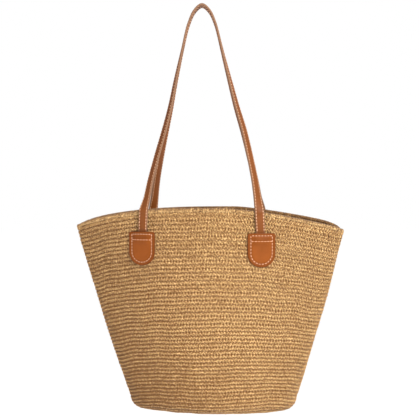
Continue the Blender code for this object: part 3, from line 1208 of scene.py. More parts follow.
@dataclass
class CrochetBasket:
    """The basket, worked in rounds: stitches outside, ridges inside, a web between.

    The rows' tone changes slowly from row to row and in waves on the way round, both by
    slow_tone. end_shade_tilt paints more shade on the legs' ends at the left fold than at
    the right.
    """

    rows: RowMap
    finish: StrawFinish
    web_shade_finish: StrawFinish
    stitch_width: float = 0.00465
    fewest_stitches: int = 12
    strand: StrandModel = StrandModel(sides=5, rings=((-0.3, 0.86), (0.0, 1.0), (0.3, 0.86)))
    bands: tuple[tuple[str, int, int], ...] = (
        ("straw_upper_rows", 0, 15),
        ("straw_middle_rows", 15, 32),
        ("straw_lower_rows", 32, 50),
        ("straw_base_rows", 50, 63),
    )
    row_shift: float = 0.41
    lean_ways: tuple[float, float] = (-1.0, 1.0)
    spreads: Spreads = Spreads()
    arch_power: float = 0.6
    flatness: float = 0.72
    tone: float = 0.49
    slow_tone: float = 0.02
    slow_row_step: float = 2.3
    slow_waves: int = 3
    slow_wave_step: float = 0.17
    end_shade_tilt: float = 0.6
    leg_seed: int = 100
    web_out: float = -0.0015
    web_in: float = -0.0020
    web_turns: int = 220
    web_row_step: float = 0.5
    web_tone: float = 0.4
    ridge_sides: int = 4
    ridge_out: float = -0.0025
    ridge_radius: float = 0.00075
    ridge_spread: float = 3.4
    ridge_swell: float = 0.22
    ridge_wave: float = 0.09
    ridge_radius_spread: float = 0.06
    ridge_tone: float = 0.5
    ridge_tone_spread: float = 0.12
    ridge_seed: int = 7

    def stitch_count(self, row: int) -> int:
        """Return how many stitches a row has."""
        girth = float(self.rows.girth(row + 0.5))
        return max(self.fewest_stitches, round(girth / self.stitch_width))

    def _leg_tones(
        self, row: int, leg: StitchLeg, stitch: np.ndarray, stations: np.ndarray,
        random: np.random.Generator,
    ) -> np.ndarray:
        """Shade one leg of every stitch in a row.

        Args:
            row: The row.
            leg: Which leg.
            stitch: The stitches' shares of the way round.
            stations: Shares along the leg.
            random: Source of the small differences between stitches.

        Returns:
            The tones by stitch and station.
        """
        look = look_at(row)
        waves = np.sin(2.0 * np.pi * (self.slow_waves * stitch + self.slow_wave_step * row))
        slow = self.slow_tone * (math.sin(self.slow_row_step * row) + waves)
        tones = self.tone + look.tone + slow + random.normal(0.0, self.spreads.tone, len(stitch))
        # Painted shade towards both folds, by fold_shade.
        tones = tones - look.fold_shade * (0.5 + 0.5 * np.cos(4.0 * np.pi * stitch))
        # Painted shade at the legs' ends, heavier towards the left fold and lighter towards the
        # right.
        tilt = 1.0 + self.end_shade_tilt * np.cos(2.0 * np.pi * stitch)
        ends = leg.end_shade * look.end_shade * tilt
        return tones[:, None] - ends[:, None] * (2.0 * stations - 1.0)[None] ** 2

    def _row_legs(
        self, row: int, leg: StitchLeg, stations: np.ndarray, random: np.random.Generator,
    ) -> tuple[np.ndarray, np.ndarray, np.ndarray, np.ndarray]:
        """Place one leg of every stitch in a row.

        Args:
            row: The row.
            leg: Which leg.
            stations: Shares along the leg.
            random: Source of the small differences between stitches.

        Returns:
            The centres, the outward ways, the half widths and the tones.
        """
        look, spreads = look_at(row), self.spreads
        count = self.stitch_count(row)
        along = random.normal(0.0, spreads.along, count)
        stitch = (np.arange(count) + self.row_shift * row + along) / count
        slant = random.normal(0.0, spreads.slant, (count, 1))
        lean = blend(leg.from_across, leg.to_across, stations)[None] * self.lean_ways[row % 2]
        turn = stitch[:, None] + (lean + slant * (stations - 0.5)) / count
        lift = random.normal(0.0, spreads.lift, (count, 1))
        drop = blend(leg.from_down, leg.to_down, stations)[None]
        loose = np.clip(1.0 - np.cos(2.0 * np.pi * stitch), 0.0, 1.0)[:, None]
        down = row + lift + blend(0.5, drop, blend(1.0, look.reach, loose))
        crest = leg.crest - leg.half_thickness + random.normal(0.0, spreads.crest, (count, 1))
        arch = np.sin(np.pi * stations) ** self.arch_power
        out = blend(look.sunk, crest, arch[None])
        centres, outs = self.rows.spot(np.maximum(down, 0.0), turn, out)
        widths = leg.half_width * look.width * random.normal(1.0, spreads.width, count)
        return centres, outs, widths, self._leg_tones(row, leg, stitch, stations, random)

    def make_rows(self, field_of_strands: StrandField) -> None:
        """Work the outside, one piece for each band of rows.

        Args:
            field_of_strands: Lays the strands.
        """
        for band, (name, first, last) in enumerate(self.bands):
            random = np.random.default_rng(self.leg_seed + band)
            legs = [
                self._row_legs(row, leg, field_of_strands.stations, random)
                for row in range(first, last) for leg in (LEFT_LEG, RIGHT_LEG)
            ]
            centres, outs, widths, tones = (np.concatenate(part) for part in zip(*legs))
            piece = field_of_strands.lay(
                name, centres, outs, widths, widths * self.flatness, tones, band,
            )
            dress(piece, self.material, ("basket_body",))

    def make_web(self) -> None:
        """Lay the web that shows between the stitches: a thin closed shell of painted shade."""
        turns = np.arange(self.web_turns) / self.web_turns
        step = self.web_row_step
        down = np.arange(step, self.rows.rows - step, step)
        down = np.concatenate([[0.0], down])[:, None]
        outer, _ = self.rows.spot(down, turns[None], self.web_out)
        inner, _ = self.rows.spot(down, turns[None], self.web_in)
        points, faces = loft(np.concatenate([inner[::-1], outer]), closed=False, capped=True)
        piece = mesh_from_arrays("straw_web", points, faces)
        note_straw(piece, np.full(len(points), self.web_tone), points)
        dress(piece, self.web_shade_material, ("basket_body",))

    def _ridge(
        self, row: int, random: np.random.Generator,
    ) -> tuple[np.ndarray, np.ndarray, np.ndarray]:
        """Shape the ridge that a row shows inside the basket.

        Args:
            row: The row.
            random: Source of the small differences along it.

        Returns:
            Its rings, and the tone and the grain of each of their points.
        """
        sides = self.ridge_sides
        count = 2 * self.stitch_count(row)
        turn = (np.arange(count) + self.row_shift * row) / count
        way = np.where(np.arange(count) % 2 == 0, 1.0, -1.0)
        centre, normal = self.rows.spot(row + 0.5 + self.ridge_wave * way, turn, self.ridge_out)
        along = unit(np.roll(centre, -1, axis=0) - np.roll(centre, 1, axis=0))
        across = unit(np.cross(along, normal))
        swell = 1.0 + self.ridge_swell * way
        radius = self.ridge_radius * swell * random.normal(1.0, self.ridge_radius_spread, count)
        rings = oval_rings(centre, across, normal, radius * self.ridge_spread, radius, sides)
        tones = self.ridge_tone + random.normal(0.0, self.ridge_tone_spread, count)
        step = np.arange(count) * self.stitch_width / 2
        straight = np.stack([0.0 * step + row, 0.0 * step, step], axis=-1)
        flat_across = np.broadcast_to([1.0, 0.0, 0.0], (count, 3))
        flat_out = np.broadcast_to([0.0, 1.0, 0.0], (count, 3))
        grain = oval_rings(
            straight, flat_across, flat_out, self.ridge_radius, self.ridge_radius, sides,
        )
        return rings, np.repeat(tones, sides), grain.reshape(-1, 3)

    def make_ridges(self) -> None:
        """Work the ridges that the rows show inside the basket."""
        random = np.random.default_rng(self.ridge_seed)
        points, faces, tones, grains, first = [], [], [], [], 0
        for row in range(self.rows.rows - 1):
            rings, row_tones, row_grain = self._ridge(row, random)
            row_points, row_faces = loft(rings, closed=True, capped=False)
            points.append(row_points)
            faces.append(row_faces[0] + first)
            tones.append(row_tones)
            grains.append(row_grain)
            first += len(row_points)
        piece = mesh_from_arrays(
            "straw_inside_rows", np.concatenate(points), [np.concatenate(faces)],
        )
        note_straw(piece, np.concatenate(tones), np.concatenate(grains))
        make_consistent(piece)
        dress(piece, self.material, ("basket_body",))

    def make(self) -> None:
        """Work the whole basket."""
        self.material = self.finish.material()
        self.web_shade_material = self.web_shade_finish.material()
        self.make_rows(StrandField(self.strand))
        self.make_web()
        self.make_ridges()


@dataclass
class RimRound:
    """The finishing round: strands wrapped closely over the top edge, round a core.

    A wrap starts low outside, at wrap_start degrees from level, and ends low inside, at
    wrap_end. It darkens by inner_shade from shade_start on, over shade_length, as painted
    shade over the top and the inner side. At the folds the round is set in and down, over
    fold_share of the half width.
    """

    rows: RowMap
    finish: StrawFinish
    half_width: float = 0.0019
    half_height: float = 0.0033
    sunk: float = 0.0009
    core_share: float = 0.72
    core_steps: int = 360
    core_sides: int = 8
    core_tone: float = 0.35
    wrap_pitch: float = 0.0027
    wrap_lean: float = 0.0044
    wrap_thickness: float = 0.0007
    wrap_width_share: float = 0.52
    wrap_start: float = -78.0
    wrap_end: float = 258.0
    wrap_place_spread: float = 0.08
    wrap_width_spread: float = 0.07
    tone: float = 0.42
    tone_spread: float = 0.12
    inner_shade: float = 0.65
    shade_start: float = 24.0
    shade_length: float = 34.0
    fold_inset: float = 0.0006
    fold_drop: float = 0.0020
    fold_share: float = 0.05
    wrap_seed: int = 23
    grain_seed: int = 5
    strand: StrandModel = StrandModel(
        sides=5,
        rings=((-0.42, 0.7), (-0.28, 1.0), (-0.14, 1.0), (0.0, 1.0), (0.14, 1.0), (0.28, 1.0),
               (0.42, 0.7)),
    )

    def _axis(self, turn: np.ndarray) -> tuple[np.ndarray, np.ndarray]:
        """Find the middle of the rim.

        Args:
            turn: Shares of the way round.

        Returns:
            The places, and the outward ways, level.
        """
        form = self.rows.form
        place, normal = self.rows.spot(0.0 * turn, turn, -form.wall / 2)
        level = unit(normal * (1.0 - UP))
        rise = form.gap + form.rim_height / 2 - self.sunk
        reach = np.abs(place[..., 0] - form.mouth_offset) / (form.mouth_width / 2)
        at_fold = np.clip((reach - 1.0) / self.fold_share + 1.0, 0.0, 1.0)[..., None]
        place = place - level * at_fold * self.fold_inset
        return place + UP * (rise - at_fold * self.fold_drop), level

    def make_core(self) -> None:
        """Lay the core that the wraps go round."""
        axis, out = self._axis(np.arange(self.core_steps) / self.core_steps)
        rings = oval_rings(
            axis, out, np.broadcast_to(UP, axis.shape), self.half_width * self.core_share,
            self.half_height * self.core_share, self.core_sides,
        )
        points, faces = loft(rings, closed=True, capped=False)
        core = mesh_from_arrays("rim_core", points, faces)
        note_straw(core, np.full(len(points), self.core_tone), points)
        make_consistent(core)
        dress(core, self.material, ("rim_band",))

    def make_wraps(self) -> None:
        """Wrap the core."""
        field_of_strands = StrandField(self.strand)
        stations = field_of_strands.stations
        girth = float(self.rows.girth(0.0))
        count = round(girth / self.wrap_pitch)
        random = np.random.default_rng(self.wrap_seed)
        start = (np.arange(count) + random.normal(0.0, self.wrap_place_spread, count)) / count
        turn = start[:, None] + self.wrap_lean / girth * (stations - 0.5)[None]
        axis, level = self._axis(turn)
        degrees = blend(self.wrap_start, self.wrap_end, stations)
        cos = np.cos(np.radians(degrees))[None, :, None]
        sin = np.sin(np.radians(degrees))[None, :, None]
        centres = axis + level * cos * self.half_width + UP * sin * self.half_height
        tones = self.tone + random.normal(0.0, self.tone_spread, count)
        # Painted shade over the top and the inner side of each wrap.
        painted_shade_share = 1.0 - ease_down(degrees, self.shade_start, self.shade_length)
        tones = tones[:, None] - self.inner_shade * painted_shade_share[None]
        widths = random.normal(1.0, self.wrap_width_spread, count)
        widths = self.wrap_pitch * self.wrap_width_share * widths
        piece = field_of_strands.lay(
            "rim_wraps", centres, level * cos + UP * sin, widths, self.wrap_thickness, tones,
            self.grain_seed,
        )
        dress(piece, self.material, ("rim_band",))

    def make(self) -> None:
        """Lay the core and wrap it."""
        self.material = self.finish.material()
        self.make_core()
        self.make_wraps()


@dataclass(frozen=True)
class Station:
    """A place on a strap: where it is, which way it faces, its turn and its thickness."""

    place: np.ndarray
    face: np.ndarray
    turn: float
    thickness: float


@dataclass(frozen=True)
class StrapRow:
    """A place on a strap's leg above the rim, in shares.

    rise is the way up to the crown, spread the half distance between the legs, lean the
    strap's offset, apart the way out from the crown to the wall, and turn a quarter turn.
    """

    rise: float
    spread: float
    lean: float
    apart: float
    turn: float


STRAP_ROWS = (
    StrapRow(rise=0.060, spread=0.965, lean=1.00, apart=0.90, turn=0.36),
    StrapRow(rise=0.150, spread=0.910, lean=1.00, apart=0.74, turn=0.48),
    StrapRow(rise=0.267, spread=0.816, lean=1.00, apart=0.52, turn=0.54),
    StrapRow(rise=0.384, spread=0.712, lean=1.00, apart=0.32, turn=0.61),
    StrapRow(rise=0.500, spread=0.600, lean=0.68, apart=0.15, turn=0.70),
    StrapRow(rise=0.617, spread=0.502, lean=0.34, apart=0.05, turn=0.80),
    StrapRow(rise=0.735, spread=0.400, lean=0.12, apart=0.00, turn=0.91),
    StrapRow(rise=0.852, spread=0.298, lean=0.00, apart=0.00, turn=1.00),
    StrapRow(rise=0.910, spread=0.239, lean=0.00, apart=0.00, turn=1.00),
    StrapRow(rise=0.968, spread=0.144, lean=0.00, apart=0.00, turn=1.00),
)


def spline(points: Sequence[np.ndarray], share: float) -> np.ndarray:
    """Find a value on a Catmull-Rom spline.

    Args:
        points: Four values that it goes through.
        share: Share of the way from the second to the third.

    Returns:
        The value.
    """
    before, start, end, after = points
    return 0.5 * (
        2.0 * start
        + (end - before) * share
        + (2.0 * before - 5.0 * start + 4.0 * end - after) * share ** 2
        + (3.0 * start - before - 3.0 * end + after) * share ** 3
    )


@dataclass(frozen=True)
class LeatherPlan:
    """The sizes and places of one side's strap and patches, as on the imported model."""

    form: BasketForm
    side: Side
    offset: float
    strap_width: float = 0.0145
    strap_thickness: float = 0.0033
    strap_end_thickness: float = 0.0016
    strap_spread: float = 0.174
    strap_tuck: float = 0.014
    strap_flare: float = 0.006
    straps_apart: float = 0.001
    crown_turn: float = math.radians(5.0)
    patch_width: float = 0.0415
    patch_height: float = 0.0515
    patch_thickness: float = 0.002
    patch_spread: float = 0.181
    patch_drop: float = 0.0325
    patch_corner: float = 0.004
    patch_ramp: float = 0.005
    rim_thickness: float = 0.0045

    def patch_top_z(self, leg: Leg) -> float:
        """Find a patch's top edge.

        Args:
            leg: The strap's leg that it covers.

        Returns:
            Its z.
        """
        rim_x = self.offset + leg.value * self.strap_spread / 2
        wall_top = self.form.wall_top_z(self.side.value, rim_x)
        return wall_top + self.form.gap + self.form.rim_height - self.patch_drop

    def leg_x(self, leg: Leg, z: Numbers) -> Numbers:
        """Find a strap's leg on the wall.

        Args:
            leg: Which leg.
            z: Where to look.

        Returns:
            The x of its middle line.
        """
        patch_middle = self.patch_top_z(leg) - self.patch_height / 2
        rim_z = self.patch_top_z(leg) + self.patch_drop
        share = (rim_z - z) / (rim_z - patch_middle)
        return self.offset + leg.value * blend(self.strap_spread, self.patch_spread, share) / 2

    def crown_way(self) -> np.ndarray:
        """Return the way in which the straps lie side by side at the crown."""
        return np.array([-math.sin(self.crown_turn), math.cos(self.crown_turn), 0.0])

    def _wall_stations(self, leg: Leg) -> list[Station]:
        """Set out a leg on the wall, from under the patch to the rim's top.

        Args:
            leg: Which leg.

        Returns:
            Its stations.
        """
        form = self.form
        top = self.patch_top_z(leg)
        rim_top = top + self.patch_drop
        rim_foot = rim_top - form.rim_height
        thin, full = self.strap_end_thickness, self.strap_thickness
        rows = (
            (top - self.strap_tuck, thin),
            (top - self.strap_tuck / 2, thin),
            (top + form.gap, thin),
            (top + self.strap_flare, full),
            (blend(top + self.strap_flare, rim_foot, 0.5), full),
            (rim_foot - form.gap, full),
            (rim_top + form.gap, full),
        )
        band_proud = (self.rim_thickness - form.wall) / 2
        stations = []
        for z, thickness in rows:
            x = self.leg_x(leg, z)
            face = form.wall_normal(self.side.value, x, z)
            over_band = 1.0 - ease_down(z, top, rim_foot - form.gap - top)
            proud = form.gap + band_proud * over_band + thickness / 2
            place = form.wall_spot(self.side.value, x, z) + face * proud
            stations.append(Station(place, face, 0.0, thickness))
        return stations

    def crown_station(self) -> Station:
        """Set out the crown: on edge, beside the other strap.

        Returns:
            Its station.
        """
        place = self.crown_way() * self.side.value * (self.strap_width + self.straps_apart) / 2
        place[2] = self.strap_thickness / 2
        face = np.array([0.0, float(self.side.value), 0.0])
        return Station(place, face, 1.0, self.strap_thickness)

    def leg_stations(self, leg: Leg) -> list[Station]:
        """Set out a leg, from its end to just short of the crown.

        Args:
            leg: Which leg.

        Returns:
            Its stations.
        """
        stations = self._wall_stations(leg)
        foot, crown = stations[-1], self.crown_station()
        for row in STRAP_ROWS:
            spread = leg.value * row.spread * self.strap_spread / 2
            x = crown.place[0] + self.offset * row.lean + spread
            y = blend(crown.place[1], foot.place[1], row.apart)
            z = blend(foot.place[2], crown.place[2], row.rise)
            place = np.array([x, y, z])
            stations.append(Station(place, foot.face, row.turn, self.strap_thickness))
        return stations

    def stations(self, steps: int) -> list[Station]:
        """Return the strap's stations on a smooth curve, left end to right end.

        Args:
            steps: How many steps each stretch is cut into.

        Returns:
            The stations.
        """
        left, right = self.leg_stations(Leg.LEFT), self.leg_stations(Leg.RIGHT)
        given = left + [self.crown_station()] + right[::-1]
        last = len(given) - 1
        smooth = []
        for index in range(last):
            four = [given[min(max(index + shift, 0), last)] for shift in (-1, 0, 1, 2)]
            start, end = four[1], four[2]
            for step in range(steps):
                share = step / steps
                smooth.append(Station(
                    spline([one.place for one in four], share),
                    blend(start.face, end.face, share),
                    blend(start.turn, end.turn, share),
                    blend(start.thickness, end.thickness, share),
                ))
        smooth.append(given[last])
        return smooth


@dataclass
class Seams:
    """Rows of thread stitches, gathered and then laid together.

    Each stitch comes out of the leather from sunk below it and arches up to a share,
    proud, of its own half thickness.
    """

    pitch: float = 0.0046
    length: float = 0.0030
    half_width: float = 0.00056
    half_thickness: float = 0.00036
    sunk: float = 0.0004
    proud: float = 0.55
    arch_power: float = 0.5
    tone: float = 0.5
    tone_spread: float = 0.12
    strand: StrandModel = StrandModel(sides=6, rings=((-0.40, 0.8), (0.0, 1.0), (0.40, 0.8)))

    def __post_init__(self) -> None:
        """Start with no stitches."""
        self.centres: list[np.ndarray] = []
        self.outs: list[np.ndarray] = []
        self.strands = StrandField(self.strand)

    def sew(self, path: np.ndarray, outs: np.ndarray) -> None:
        """Sew along a path.

        Args:
            path: Points of the path on the leather's surface.
            outs: The outward way at each.
        """
        steps = np.linalg.norm(np.diff(path, axis=0), axis=-1)
        reach = np.concatenate([[0.0], np.cumsum(steps)])
        count = max(1, int(reach[-1] // self.pitch))
        pitch = reach[-1] / count
        middle = (np.arange(count) + 0.5) * pitch
        at = middle[:, None] + (self.strands.stations - 0.5)[None] * self.length
        arch = np.sin(np.pi * self.strands.stations) ** self.arch_power
        rise = blend(-self.sunk, self.half_thickness * self.proud, arch)
        out = unit(np.stack([np.interp(at, reach, outs[:, axis]) for axis in range(3)], axis=-1))
        spot = np.stack([np.interp(at, reach, path[:, axis]) for axis in range(3)], axis=-1)
        self.centres.append(spot + out * rise[None, :, None])
        self.outs.append(out)

    def lay(self, name: str, seed: int) -> bpy.types.Object:
        """Lay all the stitches sewn since the last time.

        Args:
            name: The object's name.
            seed: Seed of their small differences.

        Returns:
            The object.
        """
        centres, outs = np.concatenate(self.centres), np.concatenate(self.outs)
        random = np.random.default_rng(seed)
        tones = random.normal(self.tone, self.tone_spread, len(centres))
        piece = self.strands.lay(
            name, centres, outs, self.half_width, self.half_thickness, tones, seed,
        )
        self.centres, self.outs = [], []
        return piece


@dataclass
class Strap:
    """A shoulder strap: domed between two stitched lines, with round burnished edges.

    The shares say how much of an edge the strap is at its side, at its rounding, where the
    rounding ends and in the groove of a seam.
    """

    plan: LeatherPlan
    name: str
    steps: int = 6
    edge_round: float = 0.0010
    side_height: float = 0.3
    corner_in: float = 0.3
    corner_down: float = 0.45
    seam_inset: float = 0.0019
    seam_bank: float = 0.0010
    seam_start: float = 0.003
    groove: float = 0.00022
    dome: float = 0.00018
    dome_reach: float = 0.42
    dome_crest: float = 1.25
    edge_shares: tuple[float, float, float, float] = (1.0, 0.8, 0.35, 0.4)

    def _profile(self) -> tuple[np.ndarray, np.ndarray]:
        """Shape the strap's section.

        Returns:
            Points as across and out, the outs for a strap of full thickness, and how much
            of an edge each point is.
        """
        half, thick = self.plan.strap_width / 2, self.plan.strap_thickness / 2
        corner_in = self.corner_in * self.edge_round
        corner_down = self.corner_down * self.edge_round
        at_side, at_corner, at_round_end, at_seam = self.edge_shares
        side = self.side_height * thick
        rim = [(half, -side, at_side), (half, side, at_side)]
        top = [
            (half - corner_in, thick - corner_down, at_corner),
            (half - self.edge_round, thick, at_round_end),
            (half - self.seam_inset, thick - self.groove, at_seam),
            (half - self.seam_inset - self.seam_bank, thick, 0.0),
            (half * self.dome_reach, thick + self.dome, 0.0),
            (0.0, thick + self.dome * self.dome_crest, 0.0),
        ]
        left_top = [(-across, out, edge) for across, out, edge in reversed(top[:-1])]
        upper = rim + top + left_top
        lower = [(-across, -out, edge) for across, out, edge in upper]
        points = np.array(upper + lower)
        return points[:, :2], points[:, 2]

    def _frames(self) -> list[tuple[Station, np.ndarray, np.ndarray]]:
        """Find which way the strap faces all along.

        Returns:
            Each station with its across and out ways.
        """
        stations = self.plan.stations(self.steps)
        frames = []
        for index, station in enumerate(stations):
            ahead = stations[min(index + 1, len(stations) - 1)].place
            behind = stations[max(index - 1, 0)].place
            along = unit(ahead - behind)
            turn = station.turn * np.pi / 2
            edge_way = np.cross(along, self.plan.crown_way())
            out = station.face * math.cos(turn) + edge_way * math.sin(turn)
            out = unit(out - along * out.dot(along))
            frames.append((station, np.cross(along, out), out))
        return frames

    def _sew(self, frames: list[tuple[Station, np.ndarray, np.ndarray]], seams: Seams) -> None:
        """Sew both edges of both faces, from patch to patch.

        Args:
            frames: Each station with its across and out ways.
            seams: Takes the stitches.
        """
        places = np.array([station.place for station, _, _ in frames])
        steps = np.linalg.norm(np.diff(places, axis=0), axis=-1)
        reach = np.concatenate([[0.0], np.cumsum(steps)])
        tucked = self.plan.strap_tuck + self.seam_start
        shown = (reach > tucked) & (reach < reach[-1] - tucked)
        offset = self.plan.strap_width / 2 - self.seam_inset
        for face in (1.0, -1.0):
            for edge in (1.0, -1.0):
                path = np.array([
                    station.place + across * (edge * offset)
                    + out * (face * (station.thickness / 2 - self.groove))
                    for station, across, out in frames
                ])
                outs = np.array([out * face for _, _, out in frames])
                seams.sew(path[shown], outs[shown])

    def make(self, material: bpy.types.Material, seams: Seams) -> None:
        """Model the strap and sew its seams.

        Args:
            material: Its leather.
            seams: Takes its stitches.
        """
        profile, edges = self._profile()
        frames = self._frames()
        full = self.plan.strap_thickness
        rings = np.array([
            [
                station.place + across * wide + out * thick * station.thickness / full
                for wide, thick in profile
            ]
            for station, across, out in frames
        ])
        piece = extrude_through(self.name + "_leather", rings)
        note_edge_shares(piece, rings, np.broadcast_to(edges, rings.shape[:2]))
        piece.data.shade_smooth()
        dress(piece, material, (self.name,))
        self._sew(frames, seams)


def note_edge_shares(piece: bpy.types.Object, rings: np.ndarray, shares: np.ndarray) -> None:
    """Keep the edge share of a piece that was extruded through rings.

    Args:
        piece: The object.
        rings: Points by ring and place round the ring.
        shares: The share at each of them.
    """
    known = {
        tuple(np.round(point, 6)): share
        for point, share in zip(rings.reshape(-1, 3).astype(np.float32), shares.ravel())
    }
    values = np.array([
        known.get(tuple(np.round(np.array(vertex.co, np.float32), 6)), 0.0)
        for vertex in piece.data.vertices
    ])
    note_points(piece, "edge", values)


@dataclass
class Patch:
    """A leather patch, straight at the top and round at the bottom, sewn on all round.

    Its rings go from the middle of its underside over the edge to the middle of its face.
    edge_rings are those that round the edge: how far in, the share of the thickness, how
    far below that, and how much of an edge. groove_edges is that last share outside the
    seam's groove, in it and beyond it. Between the two seams, over the band in crease, the
    patch is darkened with the edge colour as painted shade.
    """

    plan: LeatherPlan
    leg: Leg
    name: str
    seam_inset: float = 0.0050
    seam_top: float = 0.0038
    second_seam: float = 0.0123
    second_seam_rise: float = 0.0002
    second_seam_steps: int = 20
    crease: tuple[float, float] = (0.006, 0.0112)
    crease_painted_shade: float = 0.4
    groove: float = 0.00025
    groove_half: float = 0.0005
    groove_bank: float = 0.0013
    bank_rise: float = 0.0001
    groove_edges: tuple[float, float, float] = (0.35, 0.5, 0.05)
    pillow: float = 0.0003
    under_insets: tuple[float, ...] = (0.0190, 0.0150, 0.0100, 0.0050)
    edge_rings: tuple[tuple[float, float, float, float], ...] = (
        (0.0003, 0.0, 0.0, 1.0),
        (0.0, 0.35, 0.0, 1.0),
        (0.0002, 0.75, 0.0, 0.9),
        (0.0007, 1.0, 0.0001, 0.6),
        (0.0014, 1.0, 0.0, 0.45),
    )
    upper_insets: tuple[float, ...] = (0.0085, 0.0110, 0.0140, 0.0170, 0.0196)
    least_corner: float = 0.0008
    corner_points: int = 5
    side_points: int = 7
    round_points: int = 24
    top_points: int = 12

    def outline(self, inset: float, top: float) -> np.ndarray:
        """Draw the patch's outline, set in.

        Args:
            inset: How far in from the sides and the round bottom.
            top: How far down from the top edge.

        Returns:
            Points as across and below the top edge, once round.
        """
        half = self.plan.patch_width / 2 - inset
        radius = max(self.plan.patch_corner - inset, self.least_corner)
        flat, foot = half - radius, top + radius
        middle = self.plan.patch_height - self.plan.patch_width / 2
        quarter, corners, sides = math.pi / 2, self.corner_points, self.side_points
        return np.concatenate([
            line((-flat, top), (flat, top), self.top_points),
            arc((flat, foot), radius, -quarter, 0.0, corners),
            line((half, foot), (half, middle), sides),
            arc((0.0, middle), half, 0.0, 2.0 * quarter, self.round_points),
            line((-half, middle), (-half, foot), sides),
            arc((-flat, foot), radius, 2.0 * quarter, 3.0 * quarter, corners),
        ])

    def place(self, points: np.ndarray, lift: float) -> tuple[np.ndarray, np.ndarray]:
        """Put points of the flat patch on the wall.

        Args:
            points: Points as across and below the top edge.
            lift: Height above the wall where no strap lies under the patch.

        Returns:
            The places and the outward ways.
        """
        plan, form = self.plan, self.plan.form
        top = plan.patch_top_z(self.leg)
        middle = plan.leg_x(self.leg, top - plan.patch_height / 2)
        slant = abs(plan.leg_x(self.leg, top) - middle)
        reach = plan.strap_width / 2 + slant + form.gap
        over_strap = ease_down(np.abs(points[:, 0]), reach, plan.patch_ramp)
        over_end = ease_down(points[:, 1], plan.strap_tuck + form.gap, plan.patch_ramp)
        raised = (plan.strap_end_thickness + form.gap) * over_strap * over_end
        x, z = middle + points[:, 0], top - points[:, 1]
        normal = form.wall_normal(self.plan.side.value, x, z)
        spot = form.wall_spot(self.plan.side.value, x, z)
        return spot + normal * (lift + raised)[:, None], normal

    def _rings(self) -> list[tuple[float, float, float]]:
        """Set out the rings.

        Returns:
            Each ring's inset, its lift off the wall and how much of an edge it is.
        """
        under = self.plan.form.gap
        full = under + self.plan.patch_thickness
        seam, half, bank = self.seam_inset, self.groove_half, self.groove_bank
        outside, inside, beyond = self.groove_edges
        rings = [(inset, under, 0.0) for inset in self.under_insets]
        for inset, share, below, edge in self.edge_rings:
            rings.append((inset, blend(under, full, share) - below, edge))
        rings += [
            (seam - bank, full + self.bank_rise, outside),
            (seam - half, full - self.groove, inside),
            (seam + half, full - self.groove, inside),
            (seam + bank, full + self.bank_rise, beyond),
        ]
        return rings + [(inset, full + self.pillow, 0.0) for inset in self.upper_insets]

    def _sew(self, seams: Seams) -> None:
        """Sew once round, and once across below the strap's end.

        Args:
            seams: Takes the stitches.
        """
        full = self.plan.form.gap + self.plan.patch_thickness
        round_seam = self.outline(self.seam_inset, self.seam_top)
        round_seam = np.concatenate([round_seam, round_seam[:1]])
        seams.sew(*self.place(round_seam, full - self.groove))
        half = self.plan.patch_width / 2 - self.seam_inset
        across = np.linspace(-half, half, self.second_seam_steps)
        second = np.stack([across, np.full_like(across, self.second_seam)], axis=-1)
        seams.sew(*self.place(second, full + self.second_seam_rise))

    def make(self, material: bpy.types.Material, seams: Seams) -> None:
        """Model the patch and sew its seams.

        Args:
            material: Its leather.
            seams: Takes its stitches.
        """
        seam, (crease_top, crease_foot) = self.seam_inset, self.crease
        rings, shares = [], []
        for inset, lift, edge in self._rings():
            top = inset - (seam - self.seam_top) * min(inset / seam, 1.0)
            flat = self.outline(inset, top)
            rings.append(self.place(flat, lift)[0])
            down = flat[:, 1]
            # Painted shade over the band between the two seams.
            crease_shaded = (inset > seam) & (down > crease_top) & (down < crease_foot)
            shares.append(np.where(crease_shaded, max(edge, self.crease_painted_shade), edge))
        rings = np.array(rings)
        piece = extrude_through(self.name + "_leather", rings)
        note_edge_shares(piece, rings, np.array(shares))
        piece.data.shade_smooth()
        dress(piece, material, (self.name,))
        self._sew(seams)


@dataclass
class Leather:
    """The two straps and their four patches, with all their seams."""

    form: BasketForm
    strap_finish: LeatherFinish
    patch_finish: LeatherFinish
    thread: ThreadFinish
    offsets: tuple[tuple[Side, float], ...] = ((Side.FRONT, 0.005), (Side.BACK, 0.002))
    patch_seed: int = 10

    def make(self) -> None:
        """Cut, place and sew the leather."""
        strap_leather = self.strap_finish.material()
        patch_leather = self.patch_finish.material()
        thread = self.thread.material()
        seams = Seams()
        for seed, (side, offset) in enumerate(self.offsets):
            plan = LeatherPlan(self.form, side, offset)
            where = side.name.lower()
            Strap(plan, f"strap_{where}").make(strap_leather, seams)
            dress(seams.lay(f"strap_seams_{where}", seed), thread)
            for leg in Leg:
                name = f"patch_{where}_{leg.name.lower()}"
                Patch(plan, leg, name).make(patch_leather, seams)
            sewn = seams.lay(f"patch_seams_{where}", self.patch_seed + seed)
            dress(sewn, thread)


@dataclass(frozen=True)
class Lamp:
    """A soft studio light that looks at the bag."""

    name: str
    place: tuple[float, float, float]
    size: float
    power: float
    color: Color

    def hang(self, target: Vector) -> None:
        """Hang the lamp and aim it.

        Args:
            target: What it looks at.
        """
        bpy.ops.object.light_add(type="AREA", location=self.place)
        lamp = bpy.context.object
        lamp.name = self.name
        lamp.data.shape = "DISK"
        lamp.data.size = self.size
        lamp.data.energy = self.power
        lamp.data.color = self.color
        lamp.rotation_euler = (target - lamp.location).to_track_quat("-Z", "Y").to_euler()


